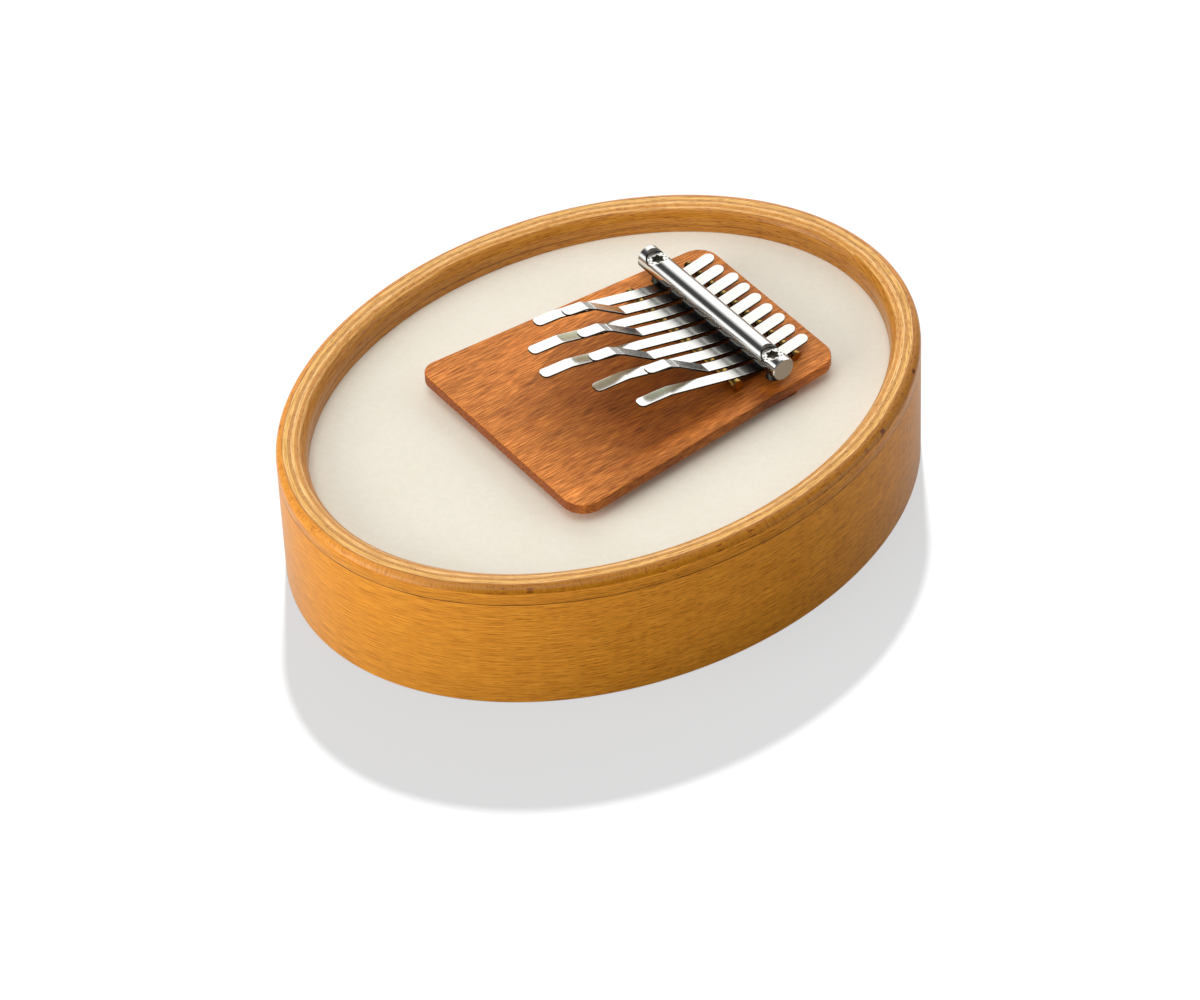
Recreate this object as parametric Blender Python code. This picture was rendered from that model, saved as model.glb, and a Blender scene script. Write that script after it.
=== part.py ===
"""Nine-tine kalimba on an oval frame drum.

A beech plywood hoop in two rings clamps a drum skin. A cherry board with the
tines stands on a spacer on the skin, and two screws pull the clamp bar, the
board and the spacer down to a backing strip under the skin.

Metres, +Z up. X runs along the oval, from the tines' tips (-X) to their rear
ends (+X). The origin is the middle of the frame's underside.
"""
import math

import bmesh
import bpy
import numpy as np
from mathutils import Matrix

# Clearances.
GAP = 0.0003
SCREW_CLEARANCE = 0.0003
POCKET_CLEARANCE = 0.0003

# Frame: two laminated rings with one outline and one wall.
FRAME_LENGTH = 0.270
FRAME_WIDTH = 0.2094
FRAME_HEIGHT = 0.0584
FRAME_WALL = 0.0121
RIM_DEPTH = 0.0075
RIM_OUTER_ROUND = 0.0034
RIM_INNER_ROUND = 0.0048
FOOT_ROUND = 0.0008
SEAM_CHAMFER = 0.0003
LIP_WIDTH = 0.0050

# Skin: its top lies this far below the rim's top.
SKIN_DEPTH = 0.0111
SKIN_THICKNESS = 0.0004
SKIN_TUCK = 0.0060

# Board: a plate that tapers towards the tines' rear ends.
BOARD_FRONT_X = -0.0496
BOARD_REAR_X = 0.0834
BOARD_FRONT_WIDTH = 0.1070
BOARD_REAR_WIDTH = 0.0870
BOARD_THICKNESS = 0.0050
BOARD_CORNER = 0.0090
BOARD_EDGE = 0.0011
BOARD_LIFT = 0.0046

# Clamp bar, its screws and their nuts.
BAR_X = 0.0557
BAR_DIAMETER = 0.0100
BAR_LENGTH = 0.0880
BAR_CHAMFER = 0.0003
SCREW_SPACING = 0.0740
SCREW_DIAMETER = 0.0050
HEAD_DIAMETER = 0.0088
HEAD_HEIGHT = 0.0030
HEAD_ROUND = 0.0004
HEAD_ABOVE_AXIS = 0.0029
RECESS_DIAMETER = 0.0051
RECESS_LOBES = 6
RECESS_LOBE_DEPTH = 0.00042
RECESS_DEPTH = 0.0018
NUT_BARREL_DIAMETER = 0.0076
NUT_BARREL_LENGTH = 0.0045
NUT_FLANGE_DIAMETER = 0.0120
NUT_FLANGE_THICKNESS = 0.0012
SCREW_TIP_BELOW_NUT = 0.0012

# Strips above and below the skin, which reach past the screws by a margin.
SPACER_MARGIN = 0.0055
SPACER_WIDTH = 0.0180
BACKING_MARGIN = 0.0120
BACKING_WIDTH = 0.0200
BACKING_THICKNESS = 0.0060
STRIP_CORNER = 0.0030
STRIP_EDGE = 0.0006

# Bridge rods, turned with one groove for each tine. Each lies in a shallow
# seat across the board.
FRONT_BRIDGE_X = 0.0400
REAR_BRIDGE_X = 0.0689
FRONT_BRIDGE_DIAMETER = 0.0052
REAR_BRIDGE_DIAMETER = 0.0041
FRONT_GROOVE_DEPTH = 0.0010
REAR_GROOVE_DEPTH = 0.0011
BRIDGE_SEAT_DEPTH = 0.0003
BRIDGE_END_RIDGE = 0.0017
BRIDGE_FLANK = 0.0001

# Tines: flat spring steel strips, all of one width and thickness.
TINE_PITCH = 0.00768
TINE_WIDTH = 0.0053
TINE_THICKNESS = 0.0008
TINE_TIP_ROUND = 0.0021
TINE_SAG = 0.0012
TINE_RISE = 0.27
TINE_REAR_RISE = 0.150
TINE_TIP_RISE = 0.09
TINE_BEND_RADIUS = 0.0040
KINK_RUN = 0.0142
KINK_RISE = 0.0108
CREST_RUN = 0.0040
CREST_RISE = 0.0020
KINK_TIP_RISE = 0.14
KINK_RADIUS = 0.0014

# Each tine, from +Y to -Y: how far it reaches behind the rear bridge, how far
# in front of the front bridge it bends, and how far in front its tip lies.
# Every second tine is kinked upwards at its bend.
TINE_CUTS = (
    (0.0092, 0.0380, 0.0485),
    (0.0081, 0.0123, 0.0401),
    (0.0096, 0.0480, 0.0618),
    (0.0093, 0.0156, 0.0439),
    (0.0090, 0.0545, 0.0676),
    (0.0087, 0.0216, 0.0496),
    (0.0088, 0.0390, 0.0538),
    (0.0079, 0.0068, 0.0346),
    (0.0082, 0.0300, 0.0445),
)

# Facets, the angle from which an edge is sharp, and the first angle of a
# tine's round end, which leaves its tip slightly blunt.
OVAL_STEPS = 96
ROUND_STEPS = 28
BAR_STEPS = 40
ROD_STEPS = 20
LOBE_STEPS = 36
CORNER_STEPS = 6
ARC_STEPS = 4
EDGE_SEGMENTS = 2
SHARP_ANGLE = math.radians(32)
TIP_ANGLE = math.radians(8)
MERGE_DISTANCE = 1e-6

# Places that follow from the sizes above.
SCREW_YS = (SCREW_SPACING / 2, -SCREW_SPACING / 2)
SCREW_HOLE = SCREW_DIAMETER / 2 + SCREW_CLEARANCE
TINE_YS = [((len(TINE_CUTS) - 1) / 2 - i) * TINE_PITCH for i in range(len(TINE_CUTS))]
SEAM_Z = FRAME_HEIGHT - RIM_DEPTH
SKIN_TOP_Z = FRAME_HEIGHT - SKIN_DEPTH
SHELF_Z = SKIN_TOP_Z - SKIN_THICKNESS - GAP
BOARD_BOTTOM_Z = SKIN_TOP_Z + BOARD_LIFT
BOARD_TOP_Z = BOARD_BOTTOM_Z + BOARD_THICKNESS
FRONT_BRIDGE_Z = BOARD_TOP_Z + GAP - BRIDGE_SEAT_DEPTH + FRONT_BRIDGE_DIAMETER / 2
REAR_BRIDGE_Z = BOARD_TOP_Z + GAP - BRIDGE_SEAT_DEPTH + REAR_BRIDGE_DIAMETER / 2
TINE_SEAT = GAP + TINE_THICKNESS / 2
TINE_FRONT_Z = FRONT_BRIDGE_Z + FRONT_BRIDGE_DIAMETER / 2 - FRONT_GROOVE_DEPTH + TINE_SEAT
TINE_REAR_Z = REAR_BRIDGE_Z + REAR_BRIDGE_DIAMETER / 2 - REAR_GROOVE_DEPTH + TINE_SEAT
TINE_BAR_Z = TINE_REAR_Z - TINE_SAG
BAR_Z = TINE_BAR_Z + TINE_SEAT + BAR_DIAMETER / 2
HEAD_TOP_Z = BAR_Z + HEAD_ABOVE_AXIS
HEAD_BOTTOM_Z = HEAD_TOP_Z - HEAD_HEIGHT
BACKING_BOTTOM_Z = SHELF_Z - BACKING_THICKNESS
GROOVE_HALF = TINE_WIDTH / 2 + GAP
BRIDGE_HALF = TINE_YS[0] + GROOVE_HALF + BRIDGE_FLANK + BRIDGE_END_RIDGE


def clear_scene():
    """Remove every object that the file holds."""
    for thing in list(bpy.data.objects):
        bpy.data.objects.remove(thing, do_unlink=True)


def material(name, colour, roughness, metallic=0.0):
    """A Principled material of one linear colour."""
    made = bpy.data.materials.new(name)
    made.use_nodes = True
    shader = made.node_tree.nodes["Principled BSDF"]
    shader.inputs["Base Color"].default_value = (*colour, 1.0)
    shader.inputs["Roughness"].default_value = roughness
    shader.inputs["Metallic"].default_value = metallic
    return made


def add_body(name, work, finish):
    """A named object from a bmesh, closed, with its faces turned outwards."""
    bmesh.ops.remove_doubles(work, verts=work.verts, dist=MERGE_DISTANCE)
    bmesh.ops.recalc_face_normals(work, faces=work.faces)
    mesh = bpy.data.meshes.new(name)
    work.to_mesh(mesh)
    work.free()
    mesh.materials.append(finish)
    mesh.shade_smooth()
    mesh.set_sharp_from_angle(angle=SHARP_ANGLE)
    body = bpy.data.objects.new(name, mesh)
    bpy.context.scene.collection.objects.link(body)
    return body


def round_edges(body, width, segments=EDGE_SEGMENTS):
    """Bevel the body's sharp edges."""
    step = body.modifiers.new("edges", "BEVEL")
    step.width = width
    step.segments = segments
    step.limit_method = "ANGLE"
    step.angle_limit = SHARP_ANGLE


def cut(body, tool):
    """Take the tool's shape out of the body, and hide the tool."""
    tool.hide_render = True
    tool.display_type = "WIRE"
    step = body.modifiers.new(tool.name, "BOOLEAN")
    step.operation = "DIFFERENCE"
    step.solver = "EXACT"
    step.object = tool


def oval(inset):
    """The frame's ellipse, moved inwards by inset along its normal."""
    turn = np.linspace(0.0, 2 * np.pi, OVAL_STEPS, endpoint=False)
    half_length = FRAME_LENGTH / 2
    half_width = FRAME_WIDTH / 2
    normal = np.column_stack([np.cos(turn) / half_length, np.sin(turn) / half_width])
    normal /= np.linalg.norm(normal, axis=1)[:, None]
    return np.column_stack([half_length * np.cos(turn), half_width * np.sin(turn)]) - inset * normal


def arc(u, v, radius, start, end):
    """Points on an arc round (u, v), between two angles in degrees."""
    return [(u + radius * math.cos(a), v + radius * math.sin(a))
            for a in np.radians(np.linspace(start, end, ARC_STEPS + 1))]


def rounded_outline(corners, radius):
    """A polygon with an arc of one radius at each corner."""
    corners = [np.array(corner, dtype=float) for corner in corners]
    points = []
    for i, corner in enumerate(corners):
        to_last = corners[i - 1] - corner
        to_next = corners[(i + 1) % len(corners)] - corner
        to_last /= np.linalg.norm(to_last)
        to_next /= np.linalg.norm(to_next)
        half = math.acos(float(to_last @ to_next)) / 2
        middle = to_last + to_next
        centre = corner + middle / np.linalg.norm(middle) * radius / math.sin(half)
        first = corner + to_last * radius / math.tan(half) - centre
        start = math.degrees(math.atan2(first[1], first[0]))
        turn = np.radians(np.linspace(start, start + 180 - 2 * math.degrees(half), CORNER_STEPS + 1))
        points += [centre + radius * np.array([math.cos(a), math.sin(a)]) for a in turn]
    return points


def hoop(name, profile, finish):
    """A closed profile of (inset, z) points round the oval, one extruded ring of edges for each."""
    work = bmesh.new()
    first_inset, first_z = profile[0]
    ring = [work.verts.new((x, y, first_z)) for x, y in oval(first_inset)]
    edges = [work.edges.new((ring[i - 1], ring[i])) for i in range(len(ring))]
    for inset, z in profile[1:] + profile[:1]:
        grown = bmesh.ops.extrude_edge_only(work, edges=edges)["geom"]
        fresh = {item for item in grown if isinstance(item, bmesh.types.BMVert)}
        edges = [item for item in grown if isinstance(item, bmesh.types.BMEdge)
                 and fresh.issuperset(item.verts)]
        ring = [next(e.other_vert(v) for e in v.link_edges if e.other_vert(v) in fresh) for v in ring]
        for vertex, (x, y) in zip(ring, oval(inset)):
            vertex.co = (x, y, z)
    return add_body(name, work, finish)


def prism(name, outline, bottom, top, finish):
    """A flat outline extruded along Z."""
    work = bmesh.new()
    base = work.faces.new([work.verts.new((x, y, bottom)) for x, y in outline])
    grown = bmesh.ops.extrude_face_region(work, geom=[base])
    moved = [item for item in grown["geom"] if isinstance(item, bmesh.types.BMVert)]
    bmesh.ops.translate(work, verts=moved, vec=(0.0, 0.0, top - bottom))
    return add_body(name, work, finish)


def turned(name, profile, place, finish, steps=ROUND_STEPS, closed=False, along_y=False):
    """A profile of (radius, along) points spun about an axis through place."""
    work = bmesh.new()
    points = [work.verts.new((radius, 0.0, along)) for radius, along in profile]
    pairs = list(zip(points, points[1:] + points[:1]))
    edges = [work.edges.new(pair) for pair in (pairs if closed else pairs[:-1])]
    bmesh.ops.spin(work, geom=points + edges, cent=(0.0, 0.0, 0.0), axis=(0.0, 0.0, 1.0),
                   angle=2 * math.pi, steps=steps, use_merge=True)
    turn = Matrix.Rotation(-math.pi / 2, 4, "X") if along_y else Matrix.Identity(4)
    work.transform(Matrix.Translation(place) @ turn)
    return add_body(name, work, finish)


def rod(name, radius, length, place, finish, steps=ROUND_STEPS, along_y=False):
    """A plain cylinder, centred on place."""
    work = bmesh.new()
    turn = Matrix.Rotation(math.pi / 2, 4, "X") if along_y else Matrix.Identity(4)
    bmesh.ops.create_cone(work, cap_ends=True, segments=steps, radius1=radius, radius2=radius,
                          depth=length, matrix=Matrix.Translation(place) @ turn)
    return add_body(name, work, finish)


def drill(body, radius, y, bottom, top):
    """Drill a hole along Z, in line with a screw."""
    name = "drill_{}_{}".format(body.name, len(body.modifiers))
    cut(body, rod(name, radius, top - bottom, (BAR_X, y, (bottom + top) / 2), CUTTER))


def build_frame():
    """The lower ring with its lip and shelf, and the rim ring that fits over them."""
    wall = FRAME_WALL
    foot = FOOT_ROUND
    lower_top = SEAM_Z - GAP / 2
    lower = arc(foot, foot, foot, 270, 180)
    lower += [(0.0, lower_top - SEAM_CHAMFER), (SEAM_CHAMFER, lower_top), (LIP_WIDTH, lower_top),
              (LIP_WIDTH, SHELF_Z), (wall, SHELF_Z)]
    lower += arc(wall - foot, foot, foot, 0, -90)
    hoop("lower_ring", lower, BEECH)

    rim_bottom = SEAM_Z + GAP / 2
    tongue = LIP_WIDTH + GAP
    rim = [(0.0, rim_bottom + SEAM_CHAMFER)]
    rim += arc(RIM_OUTER_ROUND, FRAME_HEIGHT - RIM_OUTER_ROUND, RIM_OUTER_ROUND, 180, 90)
    rim += arc(wall - RIM_INNER_ROUND, FRAME_HEIGHT - RIM_INNER_ROUND, RIM_INNER_ROUND, 90, 0)
    rim += [(wall, SKIN_TOP_Z + GAP), (tongue, SKIN_TOP_Z + GAP), (tongue, rim_bottom),
            (SEAM_CHAMFER, rim_bottom)]
    hoop("rim_ring", rim, BEECH_RIM)


def build_skin():
    """The drum skin, tucked between the two rings, with its two screw holes."""
    skin = prism("drum_skin", oval(SKIN_TUCK), SKIN_TOP_Z - SKIN_THICKNESS, SKIN_TOP_Z, SKIN)
    for y in SCREW_YS:
        drill(skin, SCREW_HOLE, y, SHELF_Z, SKIN_TOP_Z + GAP)


def build_board():
    """The cherry board, with screw holes and a shallow seat for each bridge rod."""
    corners = [(BOARD_FRONT_X, -BOARD_FRONT_WIDTH / 2), (BOARD_REAR_X, -BOARD_REAR_WIDTH / 2),
               (BOARD_REAR_X, BOARD_REAR_WIDTH / 2), (BOARD_FRONT_X, BOARD_FRONT_WIDTH / 2)]
    board = prism("sound_board", rounded_outline(corners, BOARD_CORNER), BOARD_BOTTOM_Z, BOARD_TOP_Z, CHERRY)
    round_edges(board, BOARD_EDGE)
    for y in SCREW_YS:
        drill(board, SCREW_HOLE, y, BOARD_BOTTOM_Z - GAP, BOARD_TOP_Z + GAP)
    for x, z, diameter in ((FRONT_BRIDGE_X, FRONT_BRIDGE_Z, FRONT_BRIDGE_DIAMETER),
                           (REAR_BRIDGE_X, REAR_BRIDGE_Z, REAR_BRIDGE_DIAMETER)):
        cut(board, rod("seat_cutter", diameter / 2 + GAP, 2 * (BRIDGE_HALF + GAP), (x, 0.0, z), CUTTER,
                       along_y=True))


def strip(name, margin, width, bottom, top, finish):
    """A strip across the board under the clamp bar, longer than the screws' spacing by two margins."""
    end = SCREW_SPACING / 2 + margin
    corners = [(BAR_X - width / 2, -end), (BAR_X + width / 2, -end),
               (BAR_X + width / 2, end), (BAR_X - width / 2, end)]
    made = prism(name, rounded_outline(corners, STRIP_CORNER), bottom, top, finish)
    round_edges(made, STRIP_EDGE)
    return made


def build_strips():
    """The spacer on the skin and the backing strip under it."""
    spacer = strip("spacer_strip", SPACER_MARGIN, SPACER_WIDTH, SKIN_TOP_Z + GAP, BOARD_BOTTOM_Z - GAP,
                   CHERRY_DARK)
    backing = strip("backing_strip", BACKING_MARGIN, BACKING_WIDTH, BACKING_BOTTOM_Z, SHELF_Z, BEECH)
    for y in SCREW_YS:
        drill(spacer, SCREW_HOLE, y, SKIN_TOP_Z, BOARD_BOTTOM_Z)
        drill(backing, NUT_BARREL_DIAMETER / 2 + GAP, y, BACKING_BOTTOM_Z - GAP, SHELF_Z + GAP)


def build_bar():
    """The clamp bar: a plain rod with a flat-bottomed pocket for each screw head."""
    bar = rod("clamp_bar", BAR_DIAMETER / 2, BAR_LENGTH, (BAR_X, 0.0, BAR_Z), STEEL, BAR_STEPS,
              along_y=True)
    round_edges(bar, BAR_CHAMFER, segments=1)
    floor = HEAD_BOTTOM_Z - GAP
    for y in SCREW_YS:
        drill(bar, HEAD_DIAMETER / 2 + POCKET_CLEARANCE, y, floor, BAR_Z + BAR_DIAMETER)
        drill(bar, SCREW_HOLE, y, BAR_Z - BAR_DIAMETER, floor + GAP)


def build_screws():
    """Two six-lobe screws and the flanged nuts that they pull up into the backing strip."""
    turn = np.linspace(0.0, 2 * np.pi, LOBE_STEPS, endpoint=False)
    lobe = RECESS_DIAMETER / 2 - RECESS_LOBE_DEPTH * (1 - np.cos(RECESS_LOBES * turn))
    head = HEAD_DIAMETER / 2
    shank = SCREW_DIAMETER / 2
    bore = shank + SCREW_CLEARANCE
    nut_bottom = BACKING_BOTTOM_Z - GAP - NUT_FLANGE_THICKNESS
    nut_top = BACKING_BOTTOM_Z + NUT_BARREL_LENGTH
    flange_top = nut_bottom + NUT_FLANGE_THICKNESS
    tip = nut_bottom - SCREW_TIP_BELOW_NUT
    screw_profile = [(0.0, tip), (shank - HEAD_ROUND, tip), (shank, tip + HEAD_ROUND), (shank, HEAD_BOTTOM_Z),
                     (head, HEAD_BOTTOM_Z)]
    screw_profile += arc(head - HEAD_ROUND, HEAD_TOP_Z - HEAD_ROUND, HEAD_ROUND, 0, 90)
    screw_profile.append((0.0, HEAD_TOP_Z))
    nut_profile = [(bore, nut_bottom), (NUT_FLANGE_DIAMETER / 2, nut_bottom),
                   (NUT_FLANGE_DIAMETER / 2, flange_top), (NUT_BARREL_DIAMETER / 2, flange_top),
                   (NUT_BARREL_DIAMETER / 2, nut_top), (bore, nut_top)]
    for side, y in zip(("left", "right"), SCREW_YS):
        screw = turned("clamp_screw_" + side, screw_profile, (BAR_X, y, 0.0), STEEL_SCREW)
        outline = np.column_stack([BAR_X + lobe * np.cos(turn), y + lobe * np.sin(turn)])
        cut(screw, prism("recess_cutter_" + side, outline, HEAD_TOP_Z - RECESS_DEPTH, HEAD_TOP_Z + GAP, CUTTER))
        turned("clamp_nut_" + side, nut_profile, (BAR_X, y, 0.0), ZINC, closed=True)


def build_bridges():
    """Two brass rods, with a groove under each tine and a ridge between the tines."""
    for name, x, z, diameter, depth in (
            ("front_bridge", FRONT_BRIDGE_X, FRONT_BRIDGE_Z, FRONT_BRIDGE_DIAMETER, FRONT_GROOVE_DEPTH),
            ("rear_bridge", REAR_BRIDGE_X, REAR_BRIDGE_Z, REAR_BRIDGE_DIAMETER, REAR_GROOVE_DEPTH)):
        ridge = diameter / 2
        profile = [(0.0, -BRIDGE_HALF), (ridge, -BRIDGE_HALF)]
        for y in reversed(TINE_YS):
            profile += [(ridge, y - GROOVE_HALF - BRIDGE_FLANK), (ridge - depth, y - GROOVE_HALF),
                        (ridge - depth, y + GROOVE_HALF), (ridge, y + GROOVE_HALF + BRIDGE_FLANK)]
        profile += [(ridge, BRIDGE_HALF), (0.0, BRIDGE_HALF)]
        turned(name, profile, (x, 0.0, z), BRASS, ROD_STEPS, along_y=True)


def sprung(start, end, slope_start, slope_end):
    """Points of the cubic from start to end that has the ends' slopes."""
    span = end[0] - start[0]
    points = []
    for t in np.linspace(0.0, 1.0, ARC_STEPS + 1):
        z = ((2 * t ** 3 - 3 * t ** 2 + 1) * start[1] + (t ** 3 - 2 * t ** 2 + t) * span * slope_start
             + (3 * t ** 2 - 2 * t ** 3) * end[1] + (t ** 3 - t ** 2) * span * slope_end)
        points.append((start[0] + span * t, z))
    return points


def bend(before, corner, after, radius):
    """Points of a round bend at a corner of a path, as long as an arc of that radius."""
    before, corner, after = (np.array(p, dtype=float) for p in (before, corner, after))
    to_before = (before - corner) / np.linalg.norm(before - corner)
    to_after = (after - corner) / np.linalg.norm(after - corner)
    half = math.acos(float(np.clip(to_before @ to_after, -1.0, 1.0))) / 2
    start = corner + to_before * radius / math.tan(half)
    end = corner + to_after * radius / math.tan(half)
    return [(1 - t) ** 2 * start + 2 * t * (1 - t) * corner + t ** 2 * end
            for t in np.linspace(0.0, 1.0, ARC_STEPS + 1)]


def tine_path(index):
    """The middle line of a tine as (x, z) points, from its rear end to its tip."""
    overhang, flat, reach = TINE_CUTS[index]
    rear = (REAR_BRIDGE_X, TINE_REAR_Z)
    middle = (BAR_X, TINE_BAR_Z)
    front = (FRONT_BRIDGE_X, TINE_FRONT_Z)
    path = [(REAR_BRIDGE_X + overhang, TINE_REAR_Z + TINE_REAR_RISE * overhang)]
    path += sprung(rear, middle, TINE_REAR_RISE, 0.0)
    path += sprung(middle, front, 0.0, -TINE_RISE)[1:]
    corners = [front, (FRONT_BRIDGE_X - flat, TINE_FRONT_Z + TINE_RISE * flat)]
    radius = TINE_BEND_RADIUS
    tip_rise = TINE_TIP_RISE
    if index % 2:
        radius = KINK_RADIUS
        tip_rise = KINK_TIP_RISE
        foot = corners[-1]
        corners.append((foot[0] - KINK_RUN, foot[1] + KINK_RISE))
        corners.append((foot[0] - KINK_RUN - CREST_RUN, foot[1] + KINK_RISE + CREST_RISE))
    tip_x = FRONT_BRIDGE_X - reach
    corners.append((tip_x, corners[-1][1] + tip_rise * (corners[-1][0] - tip_x)))
    for i in range(1, len(corners) - 1):
        path += bend(corners[i - 1], corners[i], corners[i + 1], radius)
    path.append(corners[-1])
    return [np.array(point) for point in path]


def round_end(end, inner, radius):
    """Points and half widths over a tine's round end, from its tip inwards."""
    along = (inner - end) / np.linalg.norm(inner - end)
    angles = np.linspace(TIP_ANGLE, math.pi / 2, ARC_STEPS + 1)
    return [(end + along * radius * (1 - math.cos(a)), TINE_WIDTH / 2 - radius * (1 - math.sin(a)))
            for a in angles]


def build_tine(index):
    """One tine: a ribbon along its path, rounded at both ends and given its thickness."""
    path = tine_path(index)
    stations = round_end(path[0], path[1], TINE_WIDTH / 2)
    stations += [(point, TINE_WIDTH / 2) for point in path[1:-1]]
    stations += reversed(round_end(path[-1], path[-2], TINE_TIP_ROUND))
    pivot = (FRONT_BRIDGE_X, TINE_YS[index], TINE_FRONT_Z)
    work = bmesh.new()
    side = [work.verts.new((x - pivot[0], -half, z - pivot[2])) for (x, z), half in stations]
    edges = [work.edges.new(pair) for pair in zip(side, side[1:])]
    grown = bmesh.ops.extrude_edge_only(work, edges=edges)
    for item in grown["geom"]:
        if isinstance(item, bmesh.types.BMVert):
            item.co.y = -item.co.y
    tine = add_body("tine_{}".format(index + 1), work, SPRING_STEEL)
    tine.location = pivot
    thickness = tine.modifiers.new("thickness", "SOLIDIFY")
    thickness.thickness = TINE_THICKNESS
    thickness.offset = 0.0
    thickness.use_even_offset = True


clear_scene()
BEECH = material("beech plywood", (0.64, 0.33, 0.075), 0.42)
BEECH_RIM = material("beech plywood rim", (0.68, 0.40, 0.13), 0.40)
SKIN = material("drum skin", (0.84, 0.80, 0.69), 0.62)
CHERRY = material("cherry", (0.50, 0.17, 0.052), 0.48)
CHERRY_DARK = material("cherry spacer", (0.36, 0.12, 0.040), 0.55)
STEEL = material("turned steel bar", (0.62, 0.62, 0.61), 0.22, 1.0)
STEEL_SCREW = material("steel screw", (0.70, 0.70, 0.69), 0.25, 1.0)
ZINC = material("zinc-plated nut", (0.58, 0.59, 0.60), 0.35, 1.0)
BRASS = material("brass rod", (0.72, 0.50, 0.16), 0.28, 1.0)
SPRING_STEEL = material("spring steel tine", (0.78, 0.77, 0.75), 0.16, 1.0)
CUTTER = material("cutter", (0.5, 0.5, 0.5), 0.5)

build_frame()
build_skin()
build_board()
build_strips()
build_bar()
build_screws()
build_bridges()
for tine_index in range(len(TINE_CUTS)):
    build_tine(tine_index)
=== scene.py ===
"""The looks of a nine-tine kalimba on an oval frame drum.

Metres, +Z up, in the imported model's frame: X runs along the oval from the tines' tips to their rear
ends. The sections follow the instrument as it is put together.
"""
import math

import bmesh
import bpy
import numpy as np
from mathutils import Matrix, Vector


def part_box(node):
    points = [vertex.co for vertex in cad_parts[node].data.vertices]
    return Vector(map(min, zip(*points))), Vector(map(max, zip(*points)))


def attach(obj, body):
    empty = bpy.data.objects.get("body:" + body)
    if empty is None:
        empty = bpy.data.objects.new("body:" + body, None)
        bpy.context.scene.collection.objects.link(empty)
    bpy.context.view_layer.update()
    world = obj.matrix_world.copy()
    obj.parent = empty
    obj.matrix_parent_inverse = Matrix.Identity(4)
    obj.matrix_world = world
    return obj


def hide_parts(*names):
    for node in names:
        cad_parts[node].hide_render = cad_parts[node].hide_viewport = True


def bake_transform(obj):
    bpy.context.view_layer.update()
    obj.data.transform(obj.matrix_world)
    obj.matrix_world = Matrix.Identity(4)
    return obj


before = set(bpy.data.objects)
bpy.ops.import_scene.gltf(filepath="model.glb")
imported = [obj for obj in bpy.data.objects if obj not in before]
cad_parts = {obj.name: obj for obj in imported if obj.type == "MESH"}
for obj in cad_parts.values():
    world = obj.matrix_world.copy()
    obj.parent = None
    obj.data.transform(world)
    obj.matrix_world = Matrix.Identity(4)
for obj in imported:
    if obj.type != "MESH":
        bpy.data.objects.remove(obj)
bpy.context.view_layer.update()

# Hoop: two laminated beech plywood rings, bent in a mould and glued with their plies one inside
# the other. The rim's shoulders are milled round through the plies, which then show as stripes,
# and the wood is sanded and given a satin clear lacquer.
HOOP = "instrument"
hoop_low, hoop_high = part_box("lower_ring")
rim_low, rim_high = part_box("rim_ring")
HALF_LENGTH = hoop_high.x
HALF_WIDTH = hoop_high.y
WALL = 0.0121
SEAM_HALF = 0.00006
SEAM_Z = 0.0509
SEAM_EDGE = 0.00012
FOOT_ROUND = 0.0008
OUTER_SHOULDER = 0.0034
INNER_SHOULDER = 0.0048
LIP = 0.0050
SHELF_Z = 0.0466
TONGUE_GAP = 0.00015
OVAL_STEPS = 720


def linear(code):
    """The linear colour of an sRGB hex code, by the sRGB curve's two pieces."""
    channels = [int(code[i:i + 2], 16) / 255 for i in (0, 2, 4)]
    return [c / 12.92 if c <= 0.04045 else ((c + 0.055) / 1.055) ** 2.4 for c in channels] + [1.0]


def oval(inset):
    """The hoop's ellipse (a cos t, b sin t), moved inwards by inset along its normal."""
    turn = np.linspace(0.0, 2 * np.pi, OVAL_STEPS, endpoint=False)
    normal = np.stack([np.cos(turn) / HALF_LENGTH, np.sin(turn) / HALF_WIDTH], axis=-1)
    normal /= np.linalg.norm(normal, axis=-1, keepdims=True)
    points = np.stack([HALF_LENGTH * np.cos(turn), HALF_WIDTH * np.sin(turn)], axis=-1)
    return points - inset * normal


def arc(centre, radius, start, end, steps=8):
    """Points (u, v) on a circle's arc, from one angle to another in degrees."""
    turn = np.radians(np.linspace(start, end, steps + 1))
    return np.stack([centre[0] + radius * np.cos(turn), centre[1] + radius * np.sin(turn)], axis=-1)


def finished_piece(name, mesh, finish):
    """An object from a mesh: doubles merged, faces turned outwards, shaded smooth but for sharp edges."""
    work = bmesh.new()
    work.from_mesh(mesh)
    bmesh.ops.remove_doubles(work, verts=work.verts, dist=1e-7)
    bmesh.ops.recalc_face_normals(work, faces=work.faces)
    work.to_mesh(mesh)
    work.free()
    mesh.materials.clear()
    mesh.materials.append(finish)
    mesh.shade_smooth()
    mesh.set_sharp_from_angle(angle=math.radians(35))
    piece = bpy.data.objects.new(name, mesh)
    bpy.context.scene.collection.objects.link(piece)
    return piece


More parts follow.
